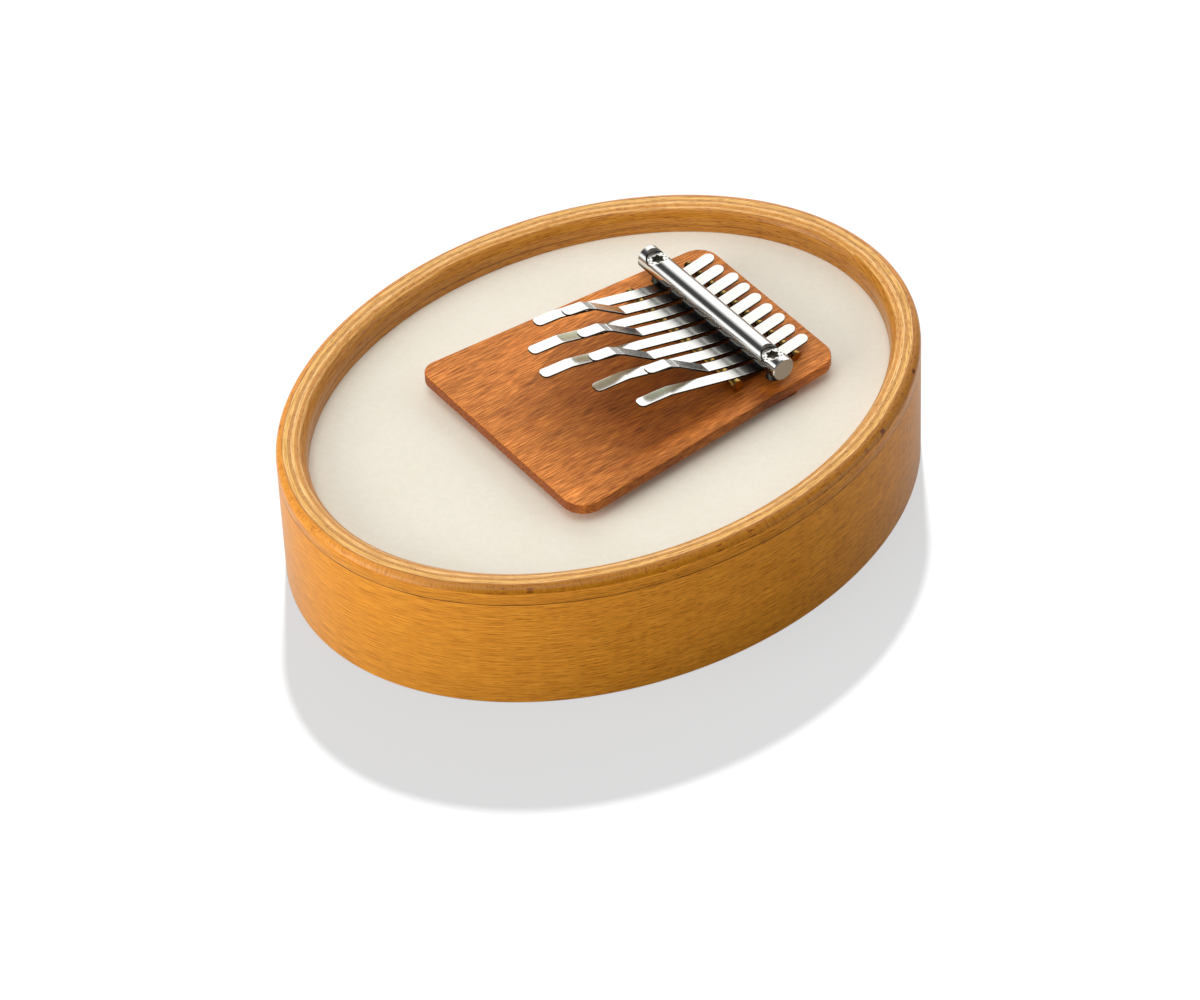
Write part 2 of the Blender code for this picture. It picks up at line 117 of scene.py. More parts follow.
def surface(name, points, finish, ring_rows=False, ring_columns=False, caps=False, uv=None):
    """A grid of points (rows, columns, 3) as quads, joined into a ring along either side, with flat
    ends where caps is set. uv holds the rows' and the columns' own coordinates, one more than there
    are points along a side that is a ring, so that a pattern can start and end at the closing edge."""
    rows, columns = points.shape[:2]
    row = np.arange(rows if ring_rows else rows - 1)
    column = np.arange(columns if ring_columns else columns - 1)
    row, column = np.meshgrid(row, column, indexing="ij")
    next_row = (row + 1) % rows
    next_column = (column + 1) % columns
    quads = np.stack([row * columns + column, row * columns + next_column,
                      next_row * columns + next_column, next_row * columns + column], axis=-1)
    faces = quads.reshape(-1, 4).tolist()
    if caps:
        faces.append(list(range(columns)))
        faces.append(list(range((rows - 1) * columns, rows * columns)))
    mesh = bpy.data.meshes.new(name)
    mesh.from_pydata(points.reshape(-1, 3).tolist(), [], faces)
    if uv is not None:
        across, along = (np.asarray(side) for side in uv)
        corners = np.stack([
            np.stack([along[column], along[column + 1], along[column + 1], along[column]], axis=-1),
            np.stack([across[row], across[row], across[row + 1], across[row + 1]], axis=-1)], axis=-1)
        layer = mesh.uv_layers.new(name="plies")
        layer.data.foreach_set("uv", corners.astype(np.float32).ravel())
    return finished_piece(name, mesh, finish)


def hoop_ring(name, profile, finish):
    """Carries a closed profile of (inset, height) pairs round the oval. The plies map holds the
    distance round the oval and the inset, in metres."""
    profile = np.concatenate([np.atleast_2d(part) for part in profile])
    rings = [np.column_stack([oval(inset), np.full(OVAL_STEPS, z)]) for inset, z in profile]
    outline = oval(0.0)
    step = np.linalg.norm(np.roll(outline, -1, axis=0) - outline, axis=-1)
    along = np.concatenate([[0.0], np.cumsum(step)])
    inset = np.append(profile[:, 0], profile[0, 0])
    return surface(name, np.array(rings), finish, ring_rows=True, ring_columns=True, uv=(inset, along))


def add(tree, kind, inputs=(), stops=None, pick=None, **settings):
    """Adds a node. settings are its properties, inputs its sockets' values or the sockets that feed
    them, stops a ramp's (place, colour) pairs. Returns its output, the first one if none is picked."""
    made = tree.nodes.new("ShaderNode" + kind)
    for name, value in settings.items():
        setattr(made, name, value)
    if stops:
        elements = made.color_ramp.elements
        while len(elements) < len(stops):
            elements.new(1.0)
        for element, (place, colour) in zip(elements, stops):
            element.position = place
            element.color = colour
    for key, value in dict(inputs).items():
        socket = made.inputs[key] if isinstance(key, int) else next(
            s for s in made.inputs if s.name == key and s.enabled)
        if isinstance(value, bpy.types.NodeSocket):
            tree.links.new(value, socket)
        else:
            socket.default_value = value
    return made.outputs[pick] if pick else next((s for s in made.outputs if s.enabled), None)


def new_material(name, **values):
    """A material and its node tree and shader, with the shader's own values set."""
    made = bpy.data.materials.new(name)
    made.use_nodes = True
    shader = made.node_tree.nodes["Principled BSDF"]
    for key, value in values.items():
        shader.inputs[key.replace("_", " ")].default_value = value
    return made, made.node_tree, shader


def beech_plywood():
    """Lacquered beech plywood. Plies with the grain round the hoop are pale and show short dark
    dashes; the cross plies between them show end grain, which is darker, stippled and cracked. A
    thin dark line marks the joint between the rings."""
    made, tree, shader = new_material("beech plywood, satin lacquer", Roughness=0.31, Specular_IOR_Level=0.30)
    plies = add(tree, "SeparateXYZ", {"Vector": add(tree, "UVMap", uv_map="plies")}, pick="X").node
    place = add(tree, "SeparateXYZ", {"Vector": add(tree, "TexCoord", pick="Object")}, pick="X").node
    along, inset, height = plies.outputs["X"], plies.outputs["Y"], place.outputs["Z"]
    grain = add(tree, "CombineXYZ", {"X": along, "Y": inset, "Z": height})

    # The glue lines wander by half a millimetre, but for the first one, just inside the face. They
    # lie deeper along the near side, where the second veneer is also darker.
    wander = add(tree, "TexNoise", {"Vector": grain, "Scale": 26.0, "Detail": 2.0})
    moved = add(tree, "MapRange", {"Value": wander, "To Min": -0.0011, "To Max": 0.0011})
    lean = add(tree, "MapRange", {"Value": place.outputs["Y"], "From Min": -0.095, "From Max": -0.030,
                                  "To Min": -0.0006, "To Max": 0.0006})
    shift = add(tree, "Math", {0: add(tree, "Math", {0: moved, 1: lean}, operation="ADD"),
                               1: add(tree, "MapRange", {"Value": inset, "From Min": 0.0003, "From Max": 0.0028})},
                operation="MULTIPLY")
    depth = add(tree, "Math", {0: inset, 1: shift}, operation="ADD")
    share = add(tree, "Math", {0: depth, 1: WALL}, operation="DIVIDE")
    inner_plies = [(0.300, "BE7C30"), (0.322, "F2C88A"), (0.338, "EEB55C"), (0.445, "EFBA68"),
                   (0.462, "D09449"), (0.560, "CE9249"), (0.574, "F6D096"), (0.590, "F2BD70"),
                   (0.668, "F0B869"), (0.684, "D59446"), (0.780, "D29144"), (0.796, "E6B168"),
                   (0.850, "DDA352"), (0.866, "C07E2E"), (1.0, "BC7C2A")]
    near_plies = [(0.0, "E6952A"), (0.008, "E6942A"), (0.026, "A86A0C"), (0.232, "AC6E12")] + inner_plies
    side_plies = [(0.0, "E6952A"), (0.036, "E6942A"), (0.058, "E2963A"), (0.232, "E1943A")] + inner_plies
    near_ply, side_ply = (
        add(tree, "ValToRGB", {"Fac": share}, stops=[(at, linear(code)) for at, code in plies_here])
        for plies_here in (near_plies, side_plies))
    near_side = add(tree, "MapRange", {"Value": place.outputs["Y"], "From Min": -0.070, "From Max": -0.020,
                                       "To Min": 1.0, "To Max": 0.0})
    ply = add(tree, "Mix", {"Factor": near_side, "A": side_ply, "B": near_ply}, data_type="RGBA")
    cross_edges = [(0.0, 0.0), (0.014, 0.0), (0.028, 1.0), (0.236, 1.0), (0.250, 0.0), (0.455, 0.0),
                   (0.464, 0.8), (0.560, 0.8), (0.568, 0.0), (0.676, 0.0), (0.686, 0.8), (0.782, 0.8),
                   (0.792, 0.0)]
    cross = add(tree, "ValToRGB", {"Fac": share}, stops=[(at, (v, v, v, 1)) for at, v in cross_edges])

    # Broad tone bands along the veneer, 10 to 20 mm high, fibres 0.5 mm wide and 9 mm long, and
    # the slanting stipple of end grain.
    tone_at = add(tree, "Mapping", {"Vector": grain, "Scale": (9.0, 120.0, 70.0)})
    tone = add(tree, "TexNoise", {"Vector": tone_at, "Scale": 1.0, "Detail": 3.0, "Distortion": 0.5})
    fibre_at = add(tree, "Mapping", {"Vector": grain, "Scale": (80.0, 2600.0, 2600.0)})
    fibre = add(tree, "TexNoise", {"Vector": fibre_at, "Scale": 1.0, "Detail": 3.0, "Roughness": 0.6})
    end_at = add(tree, "Mapping", {"Vector": grain, "Rotation": (0.0, 0.0, 0.6), "Scale": (1500.0, 520.0, 500.0)})
    end_grain = add(tree, "TexNoise", {"Vector": end_at, "Scale": 1.0, "Detail": 3.0, "Roughness": 0.7})
    streak = add(tree, "Mix", {"Factor": cross, "A": fibre, "B": add(tree, "MapRange", {
        "Value": end_grain, "To Min": 0.20, "To Max": 0.80})}, data_type="FLOAT")

    # Dashes: beech's pores and rays, 2 to 4 mm long and 0.3 mm high, all over the long grain, but
    # few of them at the hoop's left end. Each has its own depth of colour.
    rise = add(tree, "Math", {0: height, 1: inset}, operation="SUBTRACT")
    dash_at = add(tree, "Mapping", {"Vector": add(tree, "CombineXYZ", {"X": along, "Y": rise}),
                                    "Scale": (210.0, 1050.0, 1.0)})
    cell = add(tree, "TexVoronoi", {"Vector": dash_at, "Scale": 1.0, "Randomness": 1.0}, pick="Position",
               voronoi_dimensions="2D").node
    off_centre = add(tree, "VectorMath", {
        0: add(tree, "VectorMath", {0: dash_at, 1: cell.outputs["Position"]}, operation="SUBTRACT"),
        1: (1.0, 2.9, 0.0)}, operation="MULTIPLY")
    dash = add(tree, "MapRange", {"Value": add(tree, "VectorMath", {0: off_centre}, operation="LENGTH"),
                                  "From Min": 0.22, "From Max": 0.42, "To Min": 1.0, "To Max": 0.0},
               interpolation_type="SMOOTHSTEP")
    chance = add(tree, "SeparateXYZ", {"Vector": cell.outputs["Color"]}, pick="X")
    patchy = add(tree, "MapRange", {"Value": chance, "From Min": 0.10, "From Max": 0.90,
                                    "To Min": 0.10, "To Max": 1.0})
    dense = add(tree, "MapRange", {"Value": place.outputs["X"], "From Min": -0.125, "From Max": -0.060,
                                   "To Min": 0.35, "To Max": 1.0})
    dash_shown = add(tree, "Math", {0: add(tree, "Math", {0: dash, 1: patchy}, operation="MULTIPLY"),
                                    1: dense}, operation="MULTIPLY")

    # Fine cracks across the cross plies, one every few millimetres.
    crack_at = add(tree, "Mapping", {"Vector": grain, "Scale": (520.0, 90.0, 90.0)})
    crack_noise = add(tree, "TexNoise", {"Vector": crack_at, "Scale": 1.0, "Detail": 1.0})
    crack = add(tree, "MapRange", {"Value": crack_noise, "From Min": 0.64, "From Max": 0.70},
                interpolation_type="SMOOTHSTEP")
    crack_shown = add(tree, "Math", {0: crack, 1: cross}, operation="MULTIPLY")

    # The joint line, 0.3 mm high, dark along the near side and lost at the right.
    off_seam = add(tree, "Math", {0: add(tree, "Math", {0: height, 1: SEAM_Z}, operation="SUBTRACT")},
                   operation="ABSOLUTE")
    seam = add(tree, "MapRange", {"Value": off_seam, "From Min": 0.00012, "From Max": 0.00024,
                                  "To Min": 1.0, "To Max": 0.0})
    seam_noise = add(tree, "TexNoise", {"Vector": grain, "Scale": 70.0, "Detail": 2.0})
    seam_depth = add(tree, "MapRange", {"Value": seam_noise, "From Min": 0.30, "From Max": 0.55,
                                        "To Min": 0.45, "To Max": 0.95})
    seam_there = add(tree, "MapRange", {"Value": place.outputs["X"], "From Min": 0.030, "From Max": 0.125,
                                        "To Min": 1.0, "To Max": 0.30})
    seam_shown = add(tree, "Math", {0: add(tree, "Math", {0: seam, 1: seam_depth}, operation="MULTIPLY"),
                                    1: seam_there}, operation="MULTIPLY")

    shade = add(tree, "MapRange", {"Value": tone, "From Min": 0.3, "From Max": 0.7,
                                   "To Min": 0.95, "To Max": 1.06})
    fine = add(tree, "ValToRGB", {"Fac": streak}, stops=[
        (0.34, (0.70, 0.58, 0.42, 1)), (0.50, (0.99, 0.98, 0.96, 1)), (0.66, (1.18, 1.27, 1.62, 1))])
    toned = add(tree, "VectorMath", {
        0: ply, 1: add(tree, "VectorMath", {0: fine, "Scale": shade}, operation="SCALE")}, operation="MULTIPLY")
    marks = add(tree, "Math", {0: dash_shown,
                               1: add(tree, "Math", {0: crack_shown, 1: 0.35}, operation="MULTIPLY")},
                operation="MAXIMUM")
    stain = add(tree, "VectorMath", {0: toned, 1: (0.36, 0.20, 0.12)}, operation="MULTIPLY")
    marked = add(tree, "Mix", {"Factor": marks, "A": toned, "B": stain}, data_type="RGBA")
    colour = add(tree, "Mix", {"Factor": seam_shown, "A": marked, "B": linear("3A210A")}, data_type="RGBA")
    tree.links.new(colour, shader.inputs["Base Color"])
    relief = add(tree, "Math", {0: streak, 1: marks}, operation="SUBTRACT")
    bump = add(tree, "Bump", {"Height": relief, "Strength": 0.25, "Distance": 0.00006})
    tree.links.new(bump, shader.inputs["Normal"])
    return made


plywood = beech_plywood()
seam_low = SEAM_Z - SEAM_HALF
seam_high = SEAM_Z + SEAM_HALF
top = rim_high.z
lower_ring = hoop_ring("hoop_lower_ring", [
    arc((FOOT_ROUND, FOOT_ROUND), FOOT_ROUND, 270, 180),
    arc((SEAM_EDGE, seam_low - SEAM_EDGE), SEAM_EDGE, 180, 90, 3),
    [(LIP, seam_low), (LIP, SHELF_Z), (WALL, SHELF_Z)],
    arc((WALL - FOOT_ROUND, FOOT_ROUND), FOOT_ROUND, 0, -90)], plywood)
rim_ring = hoop_ring("hoop_rim_ring", [
    arc((SEAM_EDGE, seam_high + SEAM_EDGE), SEAM_EDGE, 270, 180, 3),
    arc((OUTER_SHOULDER, top - OUTER_SHOULDER), OUTER_SHOULDER, 180, 90, 12),
    arc((WALL - INNER_SHOULDER, top - INNER_SHOULDER), INNER_SHOULDER, 90, 0, 14),
    [(WALL, rim_low.z - TONGUE_GAP), (LIP + TONGUE_GAP, rim_low.z - TONGUE_GAP),
     (LIP + TONGUE_GAP, seam_high)]], plywood)
for ring, node in ((lower_ring, "lower_ring"), (rim_ring, "rim_ring")):
    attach(ring, HOOP)
    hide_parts(node)

# Drum skin: one natural goat skin, scraped, stretched wet and clamped between the two rings. Dry,
# it is a matte, slightly mottled off-white sheet 0.4 mm thick.
skin_low, skin_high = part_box("drum_skin")
SKIN_INSET = HALF_LENGTH - skin_high.x
SKIN_RINGS = 40


def goat_skin():
    """Scraped hide: cloudy off-white with fine pores, nearly matte."""
    made, tree, shader = new_material("stretched goat skin", Roughness=0.55, Specular_IOR_Level=0.35)
    place = add(tree, "TexCoord", pick="Object")
    cloud = add(tree, "TexNoise", {"Vector": place, "Scale": 38.0, "Detail": 4.0, "Roughness": 0.6})
    pore = add(tree, "TexNoise", {"Vector": place, "Scale": 520.0, "Detail": 3.0, "Roughness": 0.7})
    tint = add(tree, "ValToRGB", {"Fac": cloud},
               stops=[(0.30, linear("EFE9D8")), (0.52, linear("F0EADA")), (0.75, linear("F2ECDD"))])
    speck = add(tree, "MapRange", {"Value": pore, "From Min": 0.3, "From Max": 0.7,
                                   "To Min": 0.965, "To Max": 1.02})
    colour = add(tree, "VectorMath", {0: tint, "Scale": speck}, operation="SCALE")
    tree.links.new(colour, shader.inputs["Base Color"])
    bump = add(tree, "Bump", {"Height": pore, "Strength": 0.25, "Distance": 0.00005})
    tree.links.new(bump, shader.inputs["Normal"])
    return made


def skin_sheet():
    """The oval outline scaled from a small middle loop outwards, above, and back again below."""
    outline = oval(SKIN_INSET)
    spread = np.linspace(0.02, 1.0, SKIN_RINGS)
    up = [np.column_stack([outline * s, np.full(OVAL_STEPS, skin_high.z)]) for s in spread]
    down = [np.column_stack([outline * s, np.full(OVAL_STEPS, skin_low.z)]) for s in spread[::-1]]
    return surface("stretched_skin", np.array(up + down)[:, ::4], goat_skin(), ring_columns=True,
                   caps=True)


skin = skin_sheet()
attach(skin, HOOP)
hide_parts("drum_skin")

# Board: one plate of American cherry, flat sawn, its corners and upper edges rounded and oiled. It
# stands on a cherry spacer strip; both are drilled for the two clamp screws.
board_low, board_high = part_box("sound_board")
BOARD_FRONT_WIDTH = 0.1070
BOARD_REAR_WIDTH = 0.0870
BOARD_CORNERS = (0.0098, 0.0090, 0.0090, 0.0066)
BOARD_TOP_ROUND = 0.0006
BOARD_BOTTOM_ROUND = 0.0006
SCREW_X = 0.0557
SCREW_Y = 0.0370
SCREW_HOLE = 0.0028
CORNER_STEPS = 14


def rounded_outline(corners, radius, inset):
    """A convex polygon's outline with an arc at each corner. Its arcs keep their centres when the
    outline is inset, and only their radius shrinks."""
    corners = np.array(corners, dtype=float)
    radius = np.broadcast_to(radius, len(corners))
    back = np.roll(corners, 1, axis=0) - corners
    ahead = np.roll(corners, -1, axis=0) - corners
    back /= np.linalg.norm(back, axis=1, keepdims=True)
    ahead /= np.linalg.norm(ahead, axis=1, keepdims=True)
    half = np.arccos(np.sum(back * ahead, axis=1)) / 2
    middle = (back + ahead) / np.linalg.norm(back + ahead, axis=1, keepdims=True)
    centres = corners + middle * (radius / np.sin(half))[:, None]
    start = corners + back * (radius / np.tan(half))[:, None] - centres
    sweep = (np.pi - 2 * half)[:, None] * np.linspace(0.0, 1.0, CORNER_STEPS + 1)
    x = start[:, :1] * np.cos(sweep) - start[:, 1:] * np.sin(sweep)
    y = start[:, :1] * np.sin(sweep) + start[:, 1:] * np.cos(sweep)
    arcs = centres[:, None] + np.stack([x, y], axis=-1) * ((radius - inset) / radius)[:, None, None]
    return arcs.reshape(-1, 2)


def edge_profile(bottom, top, low_round, high_round, steps=7):
    """Pairs (inset, height) up a plate's edge, with a quarter round below and above."""
    low = arc((low_round, bottom + low_round), low_round, 270, 180, steps)
    high = arc((high_round, top - high_round), high_round, 180, 90, steps)
    return np.concatenate([low, high])


def drilled_plate(name, corners, radius, profile, holes, finish):
    """A flat plate: its rounded outline carried up an edge profile, its two faces filled round the
    drilled holes, which are (x, y, radius). A narrow flat band inside each edge keeps the shading
    of the flat face even."""
    band = 0.0006
    inset, height = profile[:, 0], profile[:, 1]
    inset = np.concatenate([[inset[0] + band], inset, [inset[-1] + band]])
    height = np.concatenate([[height[0]], height, [height[-1]]])
    loops = [np.column_stack([rounded_outline(corners, radius, i), np.full(len(corners) * (CORNER_STEPS + 1), z)])
             for i, z in zip(inset, height)]
    work = bmesh.new()
    rings = [[work.verts.new(p) for p in loop] for loop in loops]
    turn = np.linspace(0.0, 2 * np.pi, 48, endpoint=False)
    ends = {height[0]: [rings[0]], height[-1]: [rings[-1]]}
    for x, y, hole in holes:
        for z in ends:
            ring = [work.verts.new((x + hole * c, y + hole * s, z)) for c, s in zip(np.cos(turn), np.sin(turn))]
            ends[z].append(ring)
    strips = list(zip(rings, rings[1:]))
    strips += list(zip(ends[height[0]][1:], ends[height[-1]][1:]))
    for low, high in strips:
        for i in range(len(low)):
            j = (i + 1) % len(low)
            work.faces.new((low[i], low[j], high[j], high[i]))
    for loops_there in ends.values():
        edges = [work.edges.get((ring[i - 1], ring[i])) for ring in loops_there for i in range(len(ring))]
        bmesh.ops.triangle_fill(work, edges=edges, use_beauty=True)
    mesh = bpy.data.meshes.new(name)
    work.to_mesh(mesh)
    work.free()
    return finished_piece(name, mesh, finish)


def cherry(name, brightness):
    """Oiled flat-sawn cherry: faint growth lines that run along the board and bend over at its
    front, fine fibres, and darker end grain on the faces across the grain."""
    made, tree, shader = new_material(name, Roughness=0.50, Specular_IOR_Level=0.20)
    object_place = add(tree, "TexCoord", pick="Object")
    place = add(tree, "SeparateXYZ", {"Vector": object_place}, pick="X").node
    x, y = place.outputs["X"], place.outputs["Y"]
    bent = add(tree, "MapRange", {"Value": x, "From Min": -0.046, "From Max": 0.004,
                                  "To Min": 0.0, "To Max": 0.0150}, interpolation_type="SMOOTHSTEP")
    bent_here = add(tree, "MapRange", {"Value": y, "From Min": -0.020, "From Max": 0.024})
    bend = add(tree, "Math", {0: bent, 1: bent_here}, operation="MULTIPLY")
    wave_at = add(tree, "Mapping", {"Vector": object_place, "Scale": (15.0, 42.0, 42.0)})
    wave = add(tree, "TexNoise", {"Vector": wave_at, "Scale": 1.0, "Detail": 4.0, "Roughness": 0.5})
    wave_mm = add(tree, "MapRange", {"Value": wave, "To Min": -0.005, "To Max": 0.005})
    across = add(tree, "Math", {0: add(tree, "Math", {0: y, 1: bend}, operation="SUBTRACT"), 1: wave_mm},
                 operation="ADD")
    line_place = add(tree, "MapRange", {"Value": across, "From Min": -0.0535, "From Max": 0.0535})
    lines = [(0.0, 0.96), (0.060, 0.98), (0.075, 1.16), (0.118, 1.18), (0.130, 0.92), (0.200, 0.98),
             (0.212, 0.86), (0.230, 1.02), (0.385, 0.96), (0.398, 0.84), (0.412, 1.03), (0.505, 0.96),
             (0.516, 0.84), (0.532, 1.02), (0.600, 0.98), (0.611, 0.76), (0.624, 1.10), (0.800, 1.06),
             (0.815, 0.96), (1.0, 1.08)]
    growth = add(tree, "ValToRGB", {"Fac": line_place}, stops=[(at, (v, v, v, 1)) for at, v in lines])

    # The wood is paler along the front end, the far side and the last millimetres of the near edge,
    # and deepest between the tines' tips and that edge, a deep colour that is partly the wood's tone and
    # partly painted shadow of the tines.
    front = add(tree, "MapRange", {"Value": x, "From Min": -0.046, "From Max": -0.004,
                                   "To Min": 1.0, "To Max": 0.0})
    far = add(tree, "MapRange", {"Value": across, "From Min": -0.012, "From Max": 0.016})
    rear = add(tree, "MapRange", {"Value": x, "From Min": 0.052, "From Max": 0.074})
    border = add(tree, "MapRange", {"Value": y, "From Min": -0.0400, "From Max": -0.0455,
                                    "To Min": 0.0, "To Max": 0.60})
    before_bar = add(tree, "MapRange", {"Value": x, "From Min": 0.046, "From Max": 0.036})
    near = add(tree, "Math", {0: border, 1: before_bar}, operation="MULTIPLY")
    pale = front
    for there in (far, rear, near):
        pale = add(tree, "Math", {0: pale, 1: there}, operation="MAXIMUM")
    # The deep ground colour holds painted shadow of the tines as well as the wood's tone.
    ground = add(tree, "Mix", {"Factor": pale, "A": linear("8B4810"), "B": linear("CD7A34")},
                 data_type="RGBA")
    fibre_at = add(tree, "Mapping", {"Vector": object_place, "Scale": (120.0, 2300.0, 2300.0)})
    fibre = add(tree, "TexNoise", {"Vector": fibre_at, "Scale": 1.0, "Detail": 3.0, "Roughness": 0.7})
    fleck_at = add(tree, "Mapping", {"Vector": object_place, "Scale": (90.0, 1000.0, 1000.0)})
    fleck = add(tree, "TexNoise", {"Vector": fleck_at, "Scale": 1.0, "Detail": 3.0})
    cloud_at = add(tree, "Mapping", {"Vector": object_place, "Scale": (30.0, 120.0, 60.0)})
    cloud = add(tree, "TexNoise", {"Vector": cloud_at, "Scale": 1.0, "Detail": 3.0})
    fine = add(tree, "ValToRGB", {"Fac": fibre}, stops=[
        (0.34, (0.44, 0.36, 0.31, 1)), (0.50, (0.96, 0.95, 0.94, 1)), (0.66, (1.58, 1.85, 2.30, 1))])
    soft = add(tree, "MapRange", {"Value": fleck, "From Min": 0.3, "From Max": 0.7,
                                  "To Min": 0.93, "To Max": 1.05})
    wide = add(tree, "MapRange", {"Value": cloud, "From Min": 0.3, "From Max": 0.7,
                                  "To Min": 0.88 * brightness, "To Max": 1.10 * brightness})
    shade = add(tree, "Math", {0: add(tree, "Math", {0: growth, 1: soft}, operation="MULTIPLY"), 1: wide},
                operation="MULTIPLY")
    face = add(tree, "VectorMath", {
        0: ground, 1: add(tree, "VectorMath", {0: fine, "Scale": shade}, operation="SCALE")},
               operation="MULTIPLY")

    # The near side face is darkened as painted shade. End grain: red-brown, stippled by cut pores.
    normal = add(tree, "SeparateXYZ", {"Vector": add(tree, "TexCoord", pick="Normal")}, pick="X").node
    near_face_shade = add(tree, "MapRange", {"Value": normal.outputs["Y"], "From Min": -0.60, "From Max": -0.90})
    # Painted shade: the near side face is darker and less saturated.
    deeper = add(tree, "VectorMath", {0: face, 1: (0.64, 0.58, 0.34)}, operation="MULTIPLY")
    face = add(tree, "Mix", {"Factor": near_face_shade, "A": face, "B": deeper}, data_type="RGBA")
    end_face = add(tree, "MapRange", {"Value": add(tree, "Math", {0: normal.outputs["X"]}, operation="ABSOLUTE"),
                                      "From Min": 0.55, "From Max": 0.85})
    end_at = add(tree, "Mapping", {"Vector": object_place, "Scale": (500.0, 900.0, 2000.0)})
    end_noise = add(tree, "TexNoise", {"Vector": end_at, "Scale": 1.0, "Detail": 3.0, "Roughness": 0.7})
    end_tone = add(tree, "ValToRGB", {"Fac": end_noise},
                   stops=[(0.36, linear("6E3010")), (0.52, linear("8A4519")), (0.68, linear("B0702F"))])
    colour = add(tree, "Mix", {"Factor": end_face, "A": face, "B": end_tone}, data_type="RGBA")
    tree.links.new(colour, shader.inputs["Base Color"])
    bump = add(tree, "Bump", {"Height": fibre, "Strength": 0.22, "Distance": 0.00008})
    tree.links.new(bump, shader.inputs["Normal"])
    return made


screw_holes = [(SCREW_X, SCREW_Y, SCREW_HOLE), (SCREW_X, -SCREW_Y, SCREW_HOLE)]
board_corners = [(board_low.x, -BOARD_FRONT_WIDTH / 2), (board_high.x, -BOARD_REAR_WIDTH / 2),
                 (board_high.x, BOARD_REAR_WIDTH / 2), (board_low.x, BOARD_FRONT_WIDTH / 2)]
board = drilled_plate("cherry_board", board_corners, BOARD_CORNERS,
                      edge_profile(board_low.z, board_high.z, BOARD_BOTTOM_ROUND, BOARD_TOP_ROUND),
                      screw_holes, cherry("oiled cherry", 1.0))
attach(board, "instrument")
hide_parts("sound_board")

STRIP_CORNER = 0.0030
STRIP_EDGE = 0.0006
# The spacer's cherry is darkened, at brightness 0.72, as painted shade for its place under the board.
shaded_spacer_finish = cherry("oiled cherry spacer in painted shade", 0.72)


def strip(name, node, hole, finish):
    """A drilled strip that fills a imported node's box."""
    low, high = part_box(node)
    corners = [(low.x, low.y), (high.x, low.y), (high.x, high.y), (low.x, high.y)]
    made = drilled_plate(name, corners, STRIP_CORNER, edge_profile(low.z, high.z, STRIP_EDGE, STRIP_EDGE, 4),
                         [(SCREW_X, y, hole) for y in (SCREW_Y, -SCREW_Y)], finish)
    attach(made, "instrument")
    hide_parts(node)


strip("spacer", "spacer_strip", SCREW_HOLE, shaded_spacer_finish)

# Backing strip: a beech batten under the skin, oiled, which spreads the screws' pull. Its two bores
# hold zinc-plated flange nuts, pressed in from below.
NUT_BORE = 0.0041


def oiled_beech():
    """Solid beech with its grain along Y: pale tan, with short dark dashes."""
    made, tree, shader = new_material("oiled beech batten", Roughness=0.5)
    place = add(tree, "TexCoord", pick="Object")
    fibre_at = add(tree, "Mapping", {"Vector": place, "Scale": (1400.0, 50.0, 1400.0)})
    fibre = add(tree, "TexNoise", {"Vector": fibre_at, "Scale": 1.0, "Detail": 4.0})
    dash_at = add(tree, "Mapping", {"Vector": place, "Scale": (600.0, 90.0, 600.0)})
    dash = add(tree, "MapRange", {"Value": add(tree, "TexVoronoi", {"Vector": dash_at, "Scale": 1.0}),
                                  "From Min": 0.1, "From Max": 0.3, "To Min": 0.55, "To Max": 0.0})
    tone = add(tree, "ValToRGB", {"Fac": fibre},
               stops=[(0.3, linear("B98B55")), (0.7, linear("DDB37C"))])
    colour = add(tree, "Mix", {"Factor": dash, "A": tone, "B": linear("7D5228")}, data_type="RGBA")
    tree.links.new(colour, shader.inputs["Base Color"])
    bump = add(tree, "Bump", {"Height": fibre, "Strength": 0.25, "Distance": 0.00008})
    tree.links.new(bump, shader.inputs["Normal"])
    return made


strip("backing_batten", "backing_strip", NUT_BORE, oiled_beech())

# Clamp bar: a round bar of stainless steel, turned and polished, with a flat-bottomed pocket milled
# for each screw head. It presses all the tines down between the two bridges.
bar_low, bar_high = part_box("clamp_bar")
BAR_RADIUS = (bar_high.z - bar_low.z) / 2
BAR_Z = (bar_high.z + bar_low.z) / 2
BAR_X = (bar_high.x + bar_low.x) / 2
BAR_END = bar_high.y
BAR_CHAMFER = 0.0004
POCKET_RADIUS = 0.0047
HEAD_TOP = BAR_Z + 0.0029
POCKET_FLOOR = HEAD_TOP - 0.0032


def turned_piece(name, profile, origin, across, finish, steps):
    """A profile of (along, radius) pairs turned about an axis through origin: along Y where across
    is set, and along Z otherwise. Both ends are flat discs."""
    profile = np.concatenate([np.atleast_2d(part) for part in profile])
    turn = np.linspace(0.0, 2 * np.pi, steps, endpoint=False)
    out = profile[:, 1:] * np.cos(turn)
    side = profile[:, 1:] * np.sin(turn)
    along = np.broadcast_to(profile[:, :1], out.shape)
    axes = (out, along, side) if across else (out, side, along)
    return surface(name, np.stack(axes, axis=-1) + np.array(origin), finish, ring_columns=True, caps=True)


